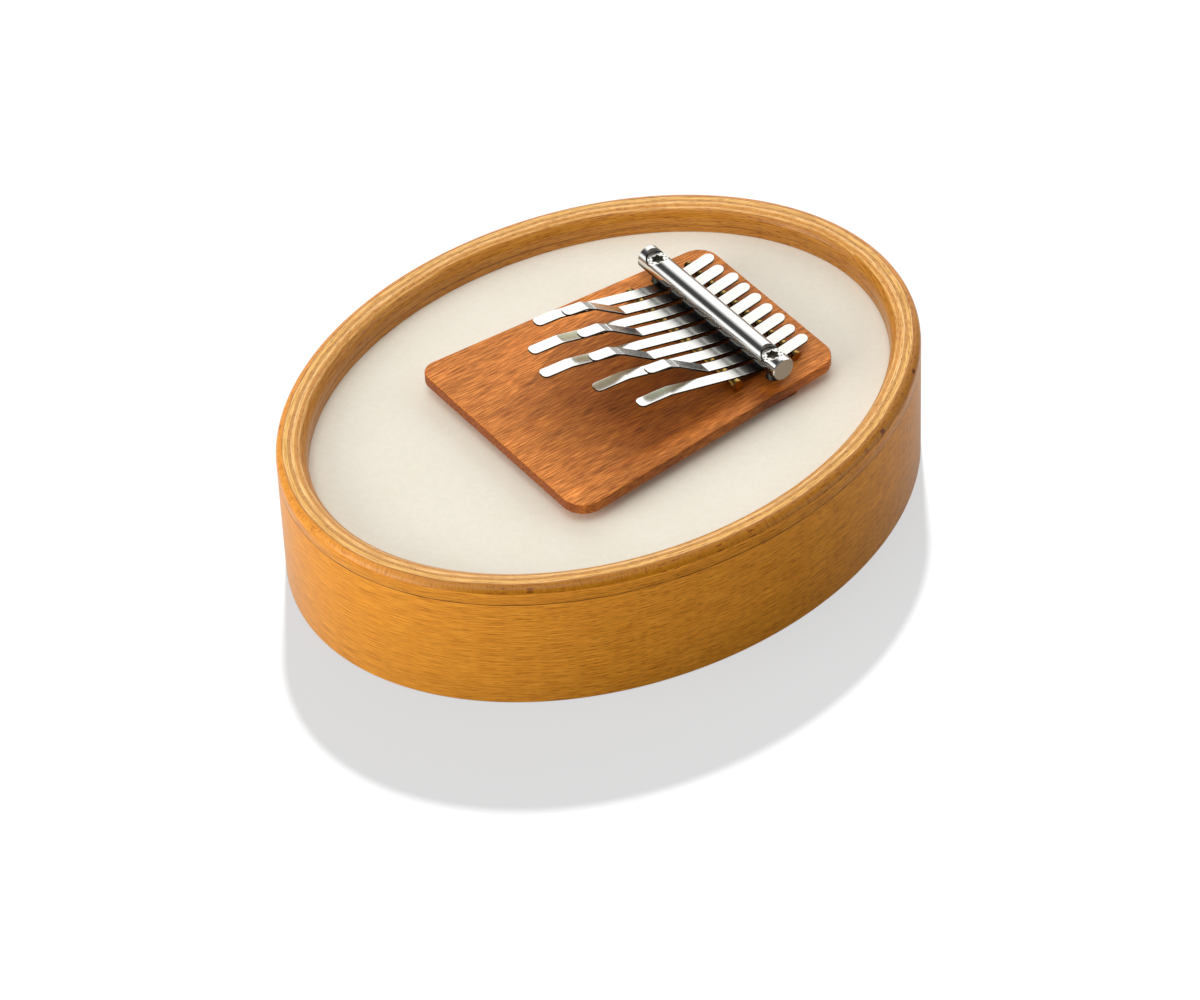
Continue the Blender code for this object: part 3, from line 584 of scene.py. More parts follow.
def steel(name, code, roughness, line_scale, line_depth):
    """Bright stainless steel with fine tool marks: line_scale sets how close they lie along each
    axis, line_depth how much they roughen the polish."""
    made, tree, shader = new_material(name, Metallic=1.0)
    place = add(tree, "TexCoord", pick="Object")
    marks_at = add(tree, "Mapping", {"Vector": place, "Scale": line_scale})
    marks = add(tree, "TexNoise", {"Vector": marks_at, "Scale": 1.0, "Detail": 3.0, "Roughness": 0.6})
    smear = add(tree, "TexNoise", {"Vector": place, "Scale": 90.0, "Detail": 2.0})
    rough = add(tree, "MapRange", {"Value": marks, "From Min": 0.3, "From Max": 0.7,
                                   "To Min": roughness * 0.88, "To Max": roughness * 1.15})
    tree.links.new(rough, shader.inputs["Roughness"])
    base = linear(code)
    dim = [c * 0.94 for c in base[:3]] + [1.0]
    colour = add(tree, "ValToRGB", {"Fac": smear}, stops=[(0.3, dim), (0.6, base)])
    tree.links.new(colour, shader.inputs["Base Color"])
    bump = add(tree, "Bump", {"Height": marks, "Strength": line_depth, "Distance": 0.00001})
    tree.links.new(bump, shader.inputs["Normal"])
    return made


def second_finish(made, share, code, roughness):
    """Mixes another colour and roughness into a steel where share is 1."""
    tree = made.node_tree
    shader = tree.nodes["Principled BSDF"]
    for name, kind, there in (("Base Color", "RGBA", linear(code)), ("Roughness", "FLOAT", roughness)):
        under = shader.inputs[name].links[0].from_socket
        mixed = add(tree, "Mix", {"Factor": share, "A": under, "B": there}, data_type=kind)
        tree.links.new(mixed, shader.inputs[name])


def bar_steel():
    """Polished steel, with end faces left grey and matte from parting off, and darker, rougher pockets.
    Its rear side and underside are darkened as painted shade."""
    made = steel("polished stainless bar", "EEEEEB", 0.11, (300.0, 900.0, 300.0), 0.0)
    made.node_tree.nodes["Principled BSDF"].inputs["Specular Tint"].default_value = (0.6, 0.6, 0.6, 1.0)
    tree = made.node_tree
    facing = add(tree, "SeparateXYZ", {"Vector": add(tree, "TexCoord", pick="Normal")}, pick="X").node
    # Painted shade: the rear side is darker, which dims its reflections.
    rear = add(tree, "MapRange", {"Value": facing.outputs["X"], "From Min": 0.55, "From Max": 0.80,
                                  "To Min": 0.0, "To Max": 0.85})
    second_finish(made, rear, "4A4A48", 0.22)
    # Painted shade: the underside is darker.
    under = add(tree, "MapRange", {"Value": facing.outputs["Z"], "From Min": 0.15, "From Max": -0.20,
                                   "To Min": 0.0, "To Max": 0.92})
    second_finish(made, under, "2C2A2C", 0.30)
    place = add(tree, "SeparateXYZ", {"Vector": add(tree, "TexCoord", pick="Object")}, pick="X").node
    from_screw = add(tree, "VectorMath", {
        0: add(tree, "CombineXYZ", {"X": place.outputs["X"],
                                    "Y": add(tree, "Math", {0: place.outputs["Y"]}, operation="ABSOLUTE")}),
        1: (SCREW_X, SCREW_Y, 0.0)}, operation="DISTANCE")
    in_pocket = add(tree, "Math", {
        0: add(tree, "Math", {0: from_screw, 1: POCKET_RADIUS + 0.00005}, operation="LESS_THAN"),
        1: add(tree, "Math", {0: place.outputs["Z"], 1: POCKET_FLOOR - 0.0001}, operation="GREATER_THAN")},
                    operation="MULTIPLY")
    second_finish(made, in_pocket, "8C8C88", 0.30)
    end = add(tree, "MapRange", {"Value": add(tree, "Math", {0: facing.outputs["Y"]}, operation="ABSOLUTE"),
                                 "From Min": 0.90, "From Max": 0.97})
    second_finish(made, end, "A8A299", 0.5)
    return made


def milled(piece, cutters):
    """Takes the cutters' shapes out of the piece for good, and removes them."""
    for cutter in cutters:
        step = piece.modifiers.new(cutter.name, "BOOLEAN")
        step.operation = "DIFFERENCE"
        step.solver = "EXACT"
        step.object = cutter
    shaped = bpy.data.meshes.new_from_object(piece.evaluated_get(bpy.context.evaluated_depsgraph_get()))
    piece.modifiers.clear()
    piece.data = shaped
    for cutter in cutters:
        bpy.data.objects.remove(cutter, do_unlink=True)
    shaped.shade_smooth()
    shaped.set_sharp_from_angle(angle=math.radians(35))


bar_finish = bar_steel()
bar_rows = np.linspace(-BAR_END + BAR_CHAMFER, BAR_END - BAR_CHAMFER, 89)
bar = turned_piece("steel_bar", [
    [(-BAR_END, 0.0006), (-BAR_END, BAR_RADIUS - BAR_CHAMFER - 0.0003), (-BAR_END, BAR_RADIUS - BAR_CHAMFER)],
    np.column_stack([bar_rows, np.full(len(bar_rows), BAR_RADIUS)]),
    [(BAR_END, BAR_RADIUS - BAR_CHAMFER), (BAR_END, BAR_RADIUS - BAR_CHAMFER - 0.0003), (BAR_END, 0.0006)]],
    (BAR_X, 0.0, BAR_Z), True, bar_finish, 200)
pockets = []
for y in (SCREW_Y, -SCREW_Y):
    pockets.append(turned_piece("pocket_cutter", [[(POCKET_FLOOR, POCKET_RADIUS), (0.08, POCKET_RADIUS)]],
                                (BAR_X, y, 0.0), False, bar_finish, 96))
    pockets.append(turned_piece("hole_cutter", [[(0.05, SCREW_HOLE), (POCKET_FLOOR + 0.001, SCREW_HOLE)]],
                                (BAR_X, y, 0.0), False, bar_finish, 64))
milled(bar, pockets)
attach(bar, "instrument")
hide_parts("clamp_bar")

# Screws: M5 cap screws of stainless steel with a six-lobe recess and a ring of punched dots on the
# head's face, and the zinc-plated flange nuts that they draw up into the backing strip.
HEAD_RADIUS = 0.0044
HEAD_ROUND = 0.0004
HEAD_HEIGHT = 0.0030
SHANK_RADIUS = 0.0025
RECESS_RADIUS = 0.00275
RECESS_LOBE = 0.00036
RECESS_DEPTH = 0.0021
THREAD_PITCH = 0.0008
THREAD_DEPTH = 0.0003
DOT_RING = 0.00345
DOT_COUNT = 12
SCREW_STEPS = 144


def screw_steel(y):
    """Cold-forged stainless with a ring of punched dots round the recess. The recess and the thread
    are darkened as painted shade."""
    made = steel("forged stainless screw", "E2E1DC", 0.20, (700.0, 700.0, 700.0), 0.12)
    tree = made.node_tree
    shader = tree.nodes["Principled BSDF"]
    centred = add(tree, "VectorMath", {0: add(tree, "TexCoord", pick="Object"),
                                       1: (SCREW_X, y, HEAD_TOP)}, operation="SUBTRACT")
    polar = add(tree, "SeparateXYZ", {"Vector": centred}, pick="X").node
    angle = add(tree, "Math", {0: polar.outputs["Y"], 1: polar.outputs["X"]}, operation="ARCTAN2")
    step = add(tree, "Math", {0: angle, 1: DOT_COUNT / (2 * math.pi)}, operation="MULTIPLY")
    sector = add(tree, "Math", {0: add(tree, "Math", {0: step}, operation="FRACT"), 1: 0.5},
                 operation="SUBTRACT")
    sideways = add(tree, "Math", {0: sector, 1: 2 * math.pi * DOT_RING / DOT_COUNT}, operation="MULTIPLY")
    flat = add(tree, "CombineXYZ", {"X": polar.outputs["X"], "Y": polar.outputs["Y"]})
    outwards = add(tree, "Math", {0: add(tree, "VectorMath", {0: flat}, operation="LENGTH"), 1: DOT_RING},
                   operation="SUBTRACT")
    near = add(tree, "VectorMath", {0: add(tree, "CombineXYZ", {"X": sideways, "Y": outwards})},
               operation="LENGTH")
    recess_shade = add(tree, "Math", {
        0: add(tree, "Math", {0: outwards, 1: 0.0031 - DOT_RING}, operation="LESS_THAN"),
        1: add(tree, "MapRange", {"Value": polar.outputs["Z"], "From Min": -0.0002, "From Max": -0.0008,
                                  "To Min": 0.0, "To Max": 1.0})}, operation="MULTIPLY")
    thread_shade = add(tree, "Math", {0: polar.outputs["Z"], 1: -HEAD_HEIGHT - 0.002}, operation="LESS_THAN")
    # Painted shade: the recess and the thread are darkened.
    second_finish(made, recess_shade, "8A867C", 0.35)
    second_finish(made, thread_shade, "3A3834", 0.50)
    dot = add(tree, "MapRange", {"Value": near, "From Min": 0.00022, "From Max": 0.00036,
                                 "To Min": 1.0, "To Max": 0.0})
    on_face = add(tree, "MapRange", {"Value": polar.outputs["Z"], "From Min": -0.0001,
                                     "From Max": -0.00002})
    shown = add(tree, "Math", {0: dot, 1: on_face}, operation="MULTIPLY")
    base = shader.inputs["Base Color"].links[0].from_socket
    colour = add(tree, "Mix", {"Factor": shown, "A": base, "B": linear("6A6862")}, data_type="RGBA")
    tree.links.new(colour, shader.inputs["Base Color"])
    sunk = add(tree, "Bump", {"Height": shown, "Strength": 0.8, "Distance": 0.0002}, invert=True)
    tree.links.new(sunk, shader.inputs["Normal"])
    return made


def cap_screw(name, y, bottom):
    """A screw from its tip upwards: threaded shank, head, rounded edge, and down the lobed recess,
    whose radius is R - d (1 - cos 6t)."""
    turn = np.linspace(0.0, 2 * np.pi, SCREW_STEPS, endpoint=False)
    turns = np.arange(bottom + 0.0006, HEAD_TOP - HEAD_HEIGHT - 0.004, THREAD_PITCH / 2)
    thread = [(z, SHANK_RADIUS - THREAD_DEPTH * (i % 2)) for i, z in enumerate(turns)]
    head_bottom = HEAD_TOP - HEAD_HEIGHT
    rounded = arc((HEAD_RADIUS - HEAD_ROUND, HEAD_TOP - HEAD_ROUND), HEAD_ROUND, 0, 90, 6)[:, ::-1]
    rings = [(bottom, SHANK_RADIUS - 0.0006)] + thread + [
        (turns[-1] + THREAD_PITCH, SHANK_RADIUS), (head_bottom, SHANK_RADIUS), (head_bottom, HEAD_RADIUS)]
    rings += [tuple(pair) for pair in rounded] + [(HEAD_TOP, 0.00305)]
    loops = [np.stack([r * np.cos(turn), r * np.sin(turn), np.full(SCREW_STEPS, z)], axis=-1)
             for z, r in rings]
    for sink, shrink in ((0.0, 0.0), (0.00006, 0.00006), (RECESS_DEPTH, 0.00010), (RECESS_DEPTH, 0.0012)):
        lobes = RECESS_RADIUS - shrink - RECESS_LOBE * (1 - np.cos(6 * turn)) * (1 if shrink < 0.001 else 0)
        loops.append(np.stack([lobes * np.cos(turn), lobes * np.sin(turn),
                               np.full(SCREW_STEPS, HEAD_TOP - sink)], axis=-1))
    points = np.array(loops) + np.array([SCREW_X, y, 0.0])
    return surface(name, points, screw_steel(y), ring_columns=True, caps=True)


def flange_nut(name, y, node, finish):
    """A round flange with a barrel above it, bored through: a closed profile turned about Z."""
    low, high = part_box(node)
    bore, barrel, flange, thick = 0.0028, 0.0038, (high.x - low.x) / 2, 0.0012
    edge = 0.0002
    profile = np.array([(bore, low.z), (flange - edge, low.z), (flange, low.z + edge),
                        (flange, low.z + thick - edge), (flange - edge, low.z + thick),
                        (barrel, low.z + thick), (barrel, high.z), (bore, high.z)])
    turn = np.linspace(0.0, 2 * np.pi, 96, endpoint=False)
    points = np.stack([SCREW_X + profile[:, :1] * np.cos(turn), y + profile[:, :1] * np.sin(turn),
                       np.broadcast_to(profile[:, 1:], (len(profile), len(turn)))], axis=-1)
    return surface(name, points, finish, ring_rows=True, ring_columns=True)


zinc = steel("zinc plate", "C9CCD0", 0.34, (500.0, 500.0, 500.0), 0.2)
for side, y in (("left", SCREW_Y), ("right", -SCREW_Y)):
    screw = cap_screw("cap_screw_" + side, y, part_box("clamp_screw_" + side)[0].z)
    nut = flange_nut("flange_nut_" + side, y, "clamp_nut_" + side, zinc)
    for piece, node, slot in ((screw, "clamp_screw_", "screw_steel"), (nut, "clamp_nut_", "zinc_nut")):
        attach(piece, "instrument")
        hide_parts(node + side)

# Bridges: two rods of free-cutting brass, turned with a flat groove under each tine and a narrow
# ridge between the tines, left bright from the lathe.
TINE_COUNT = 9
TINE_PITCH = 0.00768
TINE_YS = [((TINE_COUNT - 1) / 2 - i) * TINE_PITCH for i in range(TINE_COUNT)]
RIDGE_HALF = 0.0006
FLANK = 0.0003


def brass():
    """Bright yellow brass with turning rings round its axis and a slight tarnish."""
    made, tree, shader = new_material("turned brass", Metallic=1.0, Roughness=0.22)
    place = add(tree, "TexCoord", pick="Object")
    marks_at = add(tree, "Mapping", {"Vector": place, "Scale": (250.0, 7000.0, 250.0)})
    marks = add(tree, "TexNoise", {"Vector": marks_at, "Scale": 1.0, "Detail": 2.0})
    tarnish = add(tree, "TexNoise", {"Vector": place, "Scale": 260.0, "Detail": 2.0})
    colour = add(tree, "ValToRGB", {"Fac": tarnish},
                 stops=[(0.35, linear("785A2A")), (0.6, linear("C09A52"))])
    tree.links.new(colour, shader.inputs["Base Color"])
    bump = add(tree, "Bump", {"Height": marks, "Strength": 0.25, "Distance": 0.00002})
    tree.links.new(bump, shader.inputs["Normal"])
    return made


def grooved_rod(name, node, centre_height, ridge, groove, finish):
    """A rod along Y. Each gap between two tines has a ridge of full diameter with sloping flanks."""
    low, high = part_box(node)
    end = high.y
    edge = 0.0003
    profile = [(-end, ridge - edge), (-end + edge, ridge)]
    for y in TINE_YS[::-1]:
        half = TINE_PITCH / 2 - RIDGE_HALF
        profile += [(y - half, ridge), (y - half + FLANK, groove), (y + half - FLANK, groove), (y + half, ridge)]
    profile += [(end - edge, ridge), (end, ridge - edge)]
    rod = turned_piece(name, [profile], ((low.x + high.x) / 2, 0.0, board_high.z + centre_height), True,
                       finish, 72)
    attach(rod, "instrument")
    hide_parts(node)


brass_finish = brass()
grooved_rod("front_rod", "front_bridge", 0.0026, 0.0026, 0.0019, brass_finish)
grooved_rod("rear_rod", "rear_bridge", 0.00205, 0.00205, 0.00125, brass_finish)

# Tines: nine strips of blue spring steel, ground and polished bright, with rounded edges, round rear
# ends and rounded tips. Each is sprung over the front bridge by the bar, and every second one is
# kinked upwards so that its tip stands above its neighbours'.
TINE_WIDTH = 0.0053
TINE_THICKNESS = 0.0008
TINE_EDGE = 0.00010
TINE_FLAT_BAND = 0.00015
TINE_STATION = 0.0010
TIP_ROUND = 0.0021
FRONT_X = 0.0400
REAR_X = 0.0689
FRONT_HEIGHT = 0.00495
REAR_HEIGHT = 0.0037
BAR_HEIGHT = 0.00195
DIP_X, DIP_HEIGHT, DIP_RISE = 0.0530, 0.00222, 0.215
BRIDGE_RISE = 0.205
RISE = 0.27
REAR_RISE = 0.150
TIP_RISE = 0.09
BEND_RADIUS = 0.0040
KINK_RUN, KINK_HEIGHT = 0.0142, 0.0101
CREASE_RUN, CREASE_HEIGHT = 0.00014, 0.00003
CREST_RUN, CREST_HEIGHT = 0.0038, 0.0022
KINK_TIP_RISE = 0.16
BRIDGE_RADIUS = 0.08
KINK_RADIUS = 0.0014
CREASE_RADIUS = 0.0001
CREST_RADIUS = 0.0030
BENDS = (0.0380, 0.0123, 0.0480, 0.0156, 0.0545, 0.0216, 0.0390, 0.0068, 0.0300)


def cubic(start, end, slope_start, slope_end, steps):
    """Points on the cubic from start to end that has these slopes at its ends."""
    span = end[0] - start[0]
    t = np.linspace(0.0, 1.0, steps + 1)
    z = ((2 * t ** 3 - 3 * t ** 2 + 1) * start[1] + (t ** 3 - 2 * t ** 2 + t) * span * slope_start
         + (3 * t ** 2 - 2 * t ** 3) * end[1] + (t ** 3 - t ** 2) * span * slope_end)
    return np.column_stack([start[0] + span * t, z])


def rounded_corner(before, corner, after, radius, steps=12):
    """A quadratic curve that replaces a path's corner, as long as the arc of that radius."""
    before, corner, after = (np.array(p, dtype=float) for p in (before, corner, after))
    to_before = (before - corner) / np.linalg.norm(before - corner)
    to_after = (after - corner) / np.linalg.norm(after - corner)
    half = math.acos(float(np.clip(to_before @ to_after, -1.0, 1.0))) / 2
    reach = radius / math.tan(half)
    t = np.linspace(0.0, 1.0, steps + 1)[:, None]
    return (1 - t) ** 2 * (corner + to_before * reach) + 2 * t * (1 - t) * corner + t ** 2 * (corner + to_after * reach)


def tine_line(index, rear_x, tip_x):
    """The tine's middle line (x, height above the board), from its rear end over both bridges to
    its tip: a straight end, three cubics under the bar, and straight runs with rounded corners."""
    rear, under, front = (REAR_X, REAR_HEIGHT), (SCREW_X, BAR_HEIGHT), (FRONT_X, FRONT_HEIGHT)
    dip = (DIP_X, DIP_HEIGHT)
    start = (rear_x, REAR_HEIGHT + REAR_RISE * (rear_x - REAR_X))
    parts = [np.linspace(start, rear, 5)[:-1], cubic(rear, under, REAR_RISE, 0.0, 12),
             cubic(under, dip, 0.0, -DIP_RISE, 6)[1:], cubic(dip, front, -DIP_RISE, -BRIDGE_RISE, 10)[1:-3]]
    corners = [parts[-1][-1], front, (FRONT_X - BENDS[index], FRONT_HEIGHT + RISE * BENDS[index])]
    radii, tip_rise = [BRIDGE_RADIUS, BEND_RADIUS], TIP_RISE
    if index % 2:
        radii, tip_rise = [BRIDGE_RADIUS, KINK_RADIUS, CREASE_RADIUS, CREASE_RADIUS, CREST_RADIUS], KINK_TIP_RISE
        for run, height in ((KINK_RUN, KINK_HEIGHT), (CREASE_RUN, CREASE_HEIGHT), (CREST_RUN, CREST_HEIGHT)):
            corners.append((corners[-1][0] - run, corners[-1][1] + height))
    last_x, last_z = corners[-1]
    corners.append((tip_x, last_z + tip_rise * (last_x - tip_x)))
    for before, corner, after, radius in zip(corners, corners[1:], corners[2:], radii):
        parts.append(rounded_corner(before, corner, after, radius))
    parts.append(np.array([corners[-1]]))
    return np.concatenate(parts)


def close_stations(line):
    """The same path with extra points, so that no two lie more than TINE_STATION apart."""
    step = np.linalg.norm(np.diff(line, axis=0), axis=1)
    travel = np.concatenate([[0.0], np.cumsum(step)])
    places = np.union1d(travel, np.arange(0.0, travel[-1], TINE_STATION))
    places = places[np.concatenate([[True], np.diff(places) > 1e-5])]
    return np.column_stack([np.interp(places, travel, line[:, i]) for i in (0, 1)])


def tine_section(widths):
    """Offsets (across, up) round a flat section with rounded edges, for each half width. A narrow
    band of the flat lies inside each edge, which keeps the flat's shading even."""
    edge = np.minimum(TINE_EDGE, widths * 0.5)[:, None]
    flat = np.minimum(TINE_FLAT_BAND, widths * 0.2)[:, None]
    across, up = [], []
    for start, side, level in ((0, 1, 1), (90, -1, 1), (180, -1, -1), (270, 1, -1)):
        turn = np.radians(np.linspace(start, start + 90, 4))
        x = side * (widths[:, None] - edge) + edge * np.cos(turn)
        z = level * (TINE_THICKNESS / 2 - edge) + edge * np.sin(turn)
        inner = side * (widths[:, None] - edge - flat)
        rim = np.broadcast_to(level * TINE_THICKNESS / 2, inner.shape)
        across += [x, inner] if side * level > 0 else [inner, x]
        up += [z, rim] if side * level > 0 else [rim, z]
    return np.concatenate(across, axis=1), np.concatenate(up, axis=1)


def tine_strip(name, index, node, finish):
    """The section carried along the line. Near an end the half width follows a circle: it is
    half - r (1 - sin a) at r (1 - cos a) from the end."""
    low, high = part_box(node)
    line = close_stations(tine_line(index, high.x, low.x))
    half = TINE_WIDTH / 2
    angles = np.radians(np.linspace(6.0, 90.0, 15))
    ends = []
    for tip, inner, radius in ((line[0], line[1], half), (line[-1], line[-2], TIP_ROUND)):
        direction = (inner - tip) / np.linalg.norm(inner - tip)
        points = tip + direction * (radius * (1 - np.cos(angles)))[:, None]
        ends.append((points, half - radius * (1 - np.sin(angles))))
    rear_x = ends[0][0][-1, 0]
    tip_x = ends[1][0][-1, 0]
    middle = line[(line[:, 0] < rear_x - 1e-5) & (line[:, 0] > tip_x + 1e-5)]
    points = np.concatenate([ends[0][0], middle, ends[1][0][::-1]])
    widths = np.concatenate([ends[0][1], np.full(len(middle), half), ends[1][1][::-1]])
    along = np.gradient(points, axis=0)
    along /= np.linalg.norm(along, axis=1, keepdims=True)
    across, up = tine_section(widths)
    x = points[:, :1] + along[:, 1:] * up
    z = points[:, 1:] - along[:, :1] * up + board_high.z
    piece = surface(name, np.stack([x, TINE_YS[index] + across, z], axis=-1), finish, ring_columns=True,
                    caps=True)
    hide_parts(node)
    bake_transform(piece)


def spring_steel():
    """Steel strip ground bright on top, with a matt underside whose pale green tint is painted to turn
    its reflection of the board olive-grey, dark side faces that are partly the sheared edges' own
    colour and partly painted shade, and painted shade under the bar."""
    made = steel("ground spring steel", "F6F4EE", 0.17, (25.0, 900.0, 25.0), 0.0)
    tree = made.node_tree
    # Painted reflection tint: the underside's pale green turns the board it reflects olive-grey.
    facing = add(tree, "SeparateXYZ", {"Vector": add(tree, "TexCoord", pick="Normal")}, pick="Z")
    under = add(tree, "MapRange", {"Value": facing, "From Min": -0.30, "From Max": -0.60})
    second_finish(made, under, "E4FAE6", 0.50)
    # Painted shade under the bar: the tines are darkened there.
    from_bar = add(tree, "Math", {0: add(tree, "Math", {
        0: add(tree, "SeparateXYZ", {"Vector": add(tree, "TexCoord", pick="Object")}, pick="X"), 1: SCREW_X},
                                         operation="SUBTRACT")}, operation="ABSOLUTE")
    shade_under_bar = add(tree, "MapRange", {"Value": from_bar, "From Min": 0.0045, "From Max": 0.0062,
                                   "To Min": 0.95, "To Max": 0.0})
    second_finish(made, shade_under_bar, "4A4640", 0.35)
    # Dark side faces: partly the sheared edges' own colour, partly painted shade.
    edge = add(tree, "MapRange", {"Value": add(tree, "Math", {0: facing}, operation="ABSOLUTE"),
                                  "From Min": 0.45, "From Max": 0.72, "To Min": 1.0, "To Max": 0.0})
    second_finish(made, edge, "2C2620", 0.35)
    return made


tine_finish = spring_steel()
for index in range(TINE_COUNT):
    tine_strip("spring_tine_{}".format(index + 1), index, "tine_{}".format(index + 1), tine_finish)

# Studio: a white table and backdrop, soft boxes behind, above and at the left in a dim room, and the
# photograph's viewing angle. A soft box is its azimuth, elevation, inner and outer angle in degrees,
# and its brightness; the first is a black flag, which darkens a patch of the room.
VIEW_AZIMUTH = math.radians(-34.690)
VIEW_ELEVATION = math.radians(42.236)
VIEW_ROLL = math.radians(-2.650)
VIEW_DISTANCE = 2.28509
IMAGE_WIDTH, IMAGE_HEIGHT = 1200, 1000
FOCAL_PIXELS = 5796.48
ORIGIN_PIXEL = (605.765, 495.070)
SENSOR = 36.0
BOUNCE_REACH = 1.5
BOUNCE_NEAR, BOUNCE_FAR, BOUNCE_UNDER = 0.07, 0.33, 0.35
SHADOW_FROM = (54.65, 44.3)
SHADOW_STRENGTH = 13.5
SHADOW_ANGLE = math.radians(3.0)
ROOM_LEVEL = 0.14
SOFT_BOXES = ((128, 46, 5, 24, 0.06), (190, 78, 12, 34, 2.45), (48, 27, 18, 49, 1.32), (166, 20, 23, 32, 1.45),
              (177, 12, 18, 30, 5.0), (325, 22, 12, 32, 1.5))


def photo_camera():
    """A camera turned from azimuth, elevation and roll, placed so that the frame's origin falls on
    its pixel."""
    azimuth, elevation = VIEW_AZIMUTH, VIEW_ELEVATION
    back = Vector((math.sin(azimuth) * math.cos(elevation), -math.cos(azimuth) * math.cos(elevation),
                   math.sin(elevation)))
    level_right = Vector((math.cos(azimuth), math.sin(azimuth), 0.0))
    level_up = back.cross(level_right)
    right = level_right * math.cos(VIEW_ROLL) + level_up * math.sin(VIEW_ROLL)
    up = back.cross(right)
    shift_right = (ORIGIN_PIXEL[0] - IMAGE_WIDTH / 2) / FOCAL_PIXELS * VIEW_DISTANCE
    shift_up = (IMAGE_HEIGHT / 2 - ORIGIN_PIXEL[1]) / FOCAL_PIXELS * VIEW_DISTANCE
    data = bpy.data.cameras.new("photo_camera")
    data.sensor_width = SENSOR
    data.lens = FOCAL_PIXELS / IMAGE_WIDTH * SENSOR
    camera = bpy.data.objects.new("photo_camera", data)
    place = back * VIEW_DISTANCE - right * shift_right - up * shift_up
    camera.matrix_world = Matrix.Translation(place) @ Matrix((right, up, back)).transposed().to_4x4()
    bpy.context.scene.collection.objects.link(camera)
    bpy.context.scene.camera = camera


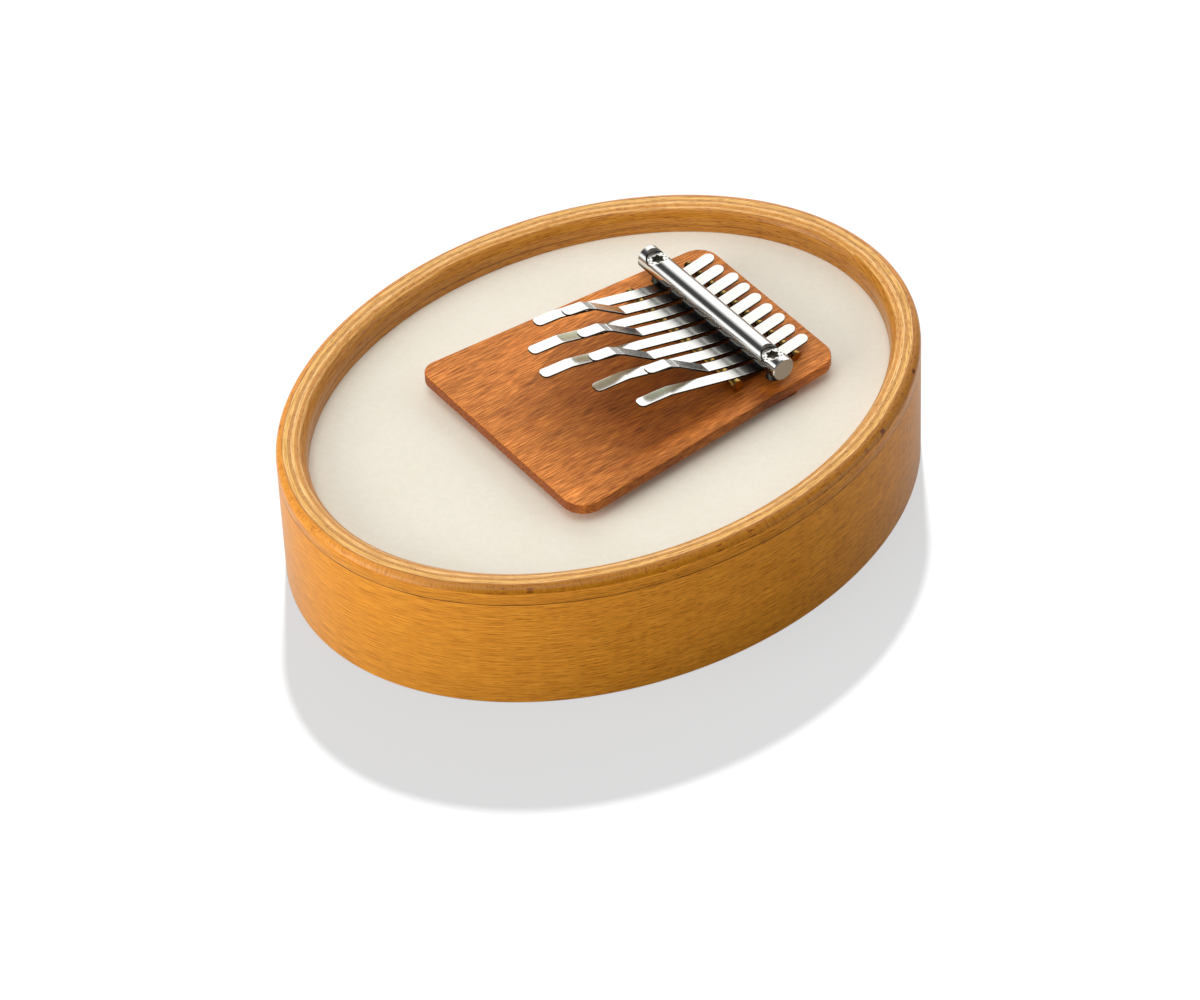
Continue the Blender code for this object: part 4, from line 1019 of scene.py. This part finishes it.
def white_table():
    """A plain table that the camera sees as white, darker in the lamp's shadow, and that is clear
    from below. Gloss sees a glow painted on it by position: dim near the instrument, bright beside it
    and dim again far away. Matte surfaces get a painted bounce glow from it, which fades close to the
    hoop as painted shade."""
    made = bpy.data.materials.new("white table")
    made.use_nodes = True
    made.cycles.emission_sampling = "NONE"
    tree = made.node_tree
    tree.nodes.clear()
    place = add(tree, "NewGeometry", pick="Position")
    spread = add(tree, "VectorMath", {0: place, 1: (1 / HALF_LENGTH, 1 / HALF_WIDTH, 0.0)},
                 operation="MULTIPLY")
    rings = add(tree, "VectorMath", {0: spread}, operation="LENGTH")
    # Painted bounce: the glow that matte surfaces see, faded near the hoop as painted shade.
    beyond = add(tree, "MapRange", {"Value": rings, "From Min": 1.0, "From Max": BOUNCE_REACH,
                                    "To Min": BOUNCE_NEAR, "To Max": BOUNCE_FAR})
    under = add(tree, "Math", {0: rings, 1: 1.0}, operation="LESS_THAN")
    painted_bounce = add(tree, "Mix", {"Factor": under, "A": beyond, "B": BOUNCE_UNDER}, data_type="FLOAT")
    # Painted reflection: the glow that gloss sees, set by the distance from a point near the hoop.
    away = add(tree, "VectorMath", {0: place, 1: (-0.03, -0.15, 0.0)}, operation="DISTANCE")
    rising = add(tree, "MapRange", {"Value": away, "From Min": 0.06, "From Max": 0.27,
                                    "To Min": 0.05, "To Max": 0.95})
    falling = add(tree, "MapRange", {"Value": away, "From Min": 0.45, "From Max": 0.80,
                                     "To Min": 1.0, "To Max": 0.22})
    painted_reflection = add(tree, "Math", {0: rising, 1: falling}, operation="MULTIPLY")
    rays = add(tree, "LightPath", pick="Is Camera Ray").node
    level = add(tree, "Mix", {"Factor": rays.outputs["Is Glossy Ray"], "A": painted_bounce, "B": painted_reflection},
                data_type="FLOAT")
    dim = add(tree, "Emission", {"Color": (1.0, 1.0, 1.0, 1.0), "Strength": level})
    matte = add(tree, "BsdfDiffuse", {"Color": (0.12, 0.12, 0.12, 1.0)})
    glow = add(tree, "Emission", {"Color": (1.0, 1.0, 1.0, 1.0), "Strength": 0.60})
    lit = add(tree, "AddShader", {0: matte, 1: glow})
    seen = add(tree, "MixShader", {0: rays.outputs["Is Camera Ray"], 1: dim, 2: lit})
    below = add(tree, "NewGeometry", pick="Backfacing")
    both = add(tree, "MixShader", {0: below, 1: seen, 2: add(tree, "BsdfTransparent")})
    add(tree, "OutputMaterial", {"Surface": both})
    mesh = bpy.data.meshes.new("table")
    half = 4.0
    level = -0.0002
    mesh.from_pydata([(-half, -half, level), (half, -half, level), (half, half, level), (-half, half, level)],
                     [], [(0, 1, 2, 3)])
    mesh.materials.append(made)
    table = bpy.data.objects.new("table", mesh)
    bpy.context.scene.collection.objects.link(table)
    return table


def shadow_lamp(table):
    """A small distant lamp that lights the table alone, for the instrument's shadow on it."""
    only = bpy.data.collections.new("table only")
    only.objects.link(table)
    data = bpy.data.lights.new("shadow_lamp", "SUN")
    data.energy = SHADOW_STRENGTH
    data.angle = SHADOW_ANGLE
    lamp = bpy.data.objects.new("shadow_lamp", data)
    lamp.rotation_mode = "QUATERNION"
    lamp.rotation_quaternion = heading(*SHADOW_FROM).to_track_quat("Z", "Y")
    bpy.context.scene.collection.objects.link(lamp)
    lamp.light_linking.receiver_collection = only


def heading(azimuth, elevation):
    """The unit vector at an azimuth, from +X anticlockwise, and an elevation, both in degrees."""
    turn, rise = math.radians(azimuth), math.radians(elevation)
    return Vector((math.cos(turn) * math.cos(rise), math.sin(turn) * math.cos(rise), math.sin(rise)))


def studio_world():
    """A dim room with soft boxes. Each is a round patch of sky: full within its inner angle, and
    faded out at its outer one."""
    world = bpy.data.worlds.new("studio")
    bpy.context.scene.world = world
    world.use_nodes = True
    tree = world.node_tree
    tree.nodes.clear()
    way = add(tree, "TexCoord", pick="Generated")
    level = ROOM_LEVEL
    for azimuth, elevation, inner, outer, strength in SOFT_BOXES:
        facing = add(tree, "VectorMath", {0: way, 1: heading(azimuth, elevation)}, operation="DOT_PRODUCT")
        share = add(tree, "MapRange", {"Value": facing, "From Min": math.cos(math.radians(outer)),
                                       "From Max": math.cos(math.radians(inner))},
                    interpolation_type="SMOOTHSTEP")
        level = add(tree, "Mix", {"Factor": share, "A": level, "B": strength}, data_type="FLOAT")
    seen = add(tree, "LightPath", pick="Is Camera Ray")
    strength = add(tree, "Mix", {"Factor": seen, "A": level, "B": 1.0}, data_type="FLOAT")
    back = add(tree, "Background", {"Color": (1.0, 1.0, 1.0, 1.0), "Strength": strength})
    add(tree, "OutputWorld", {"Surface": back})


photo_camera()
shadow_lamp(white_table())
studio_world()
bpy.context.scene.view_settings.view_transform = "Standard"
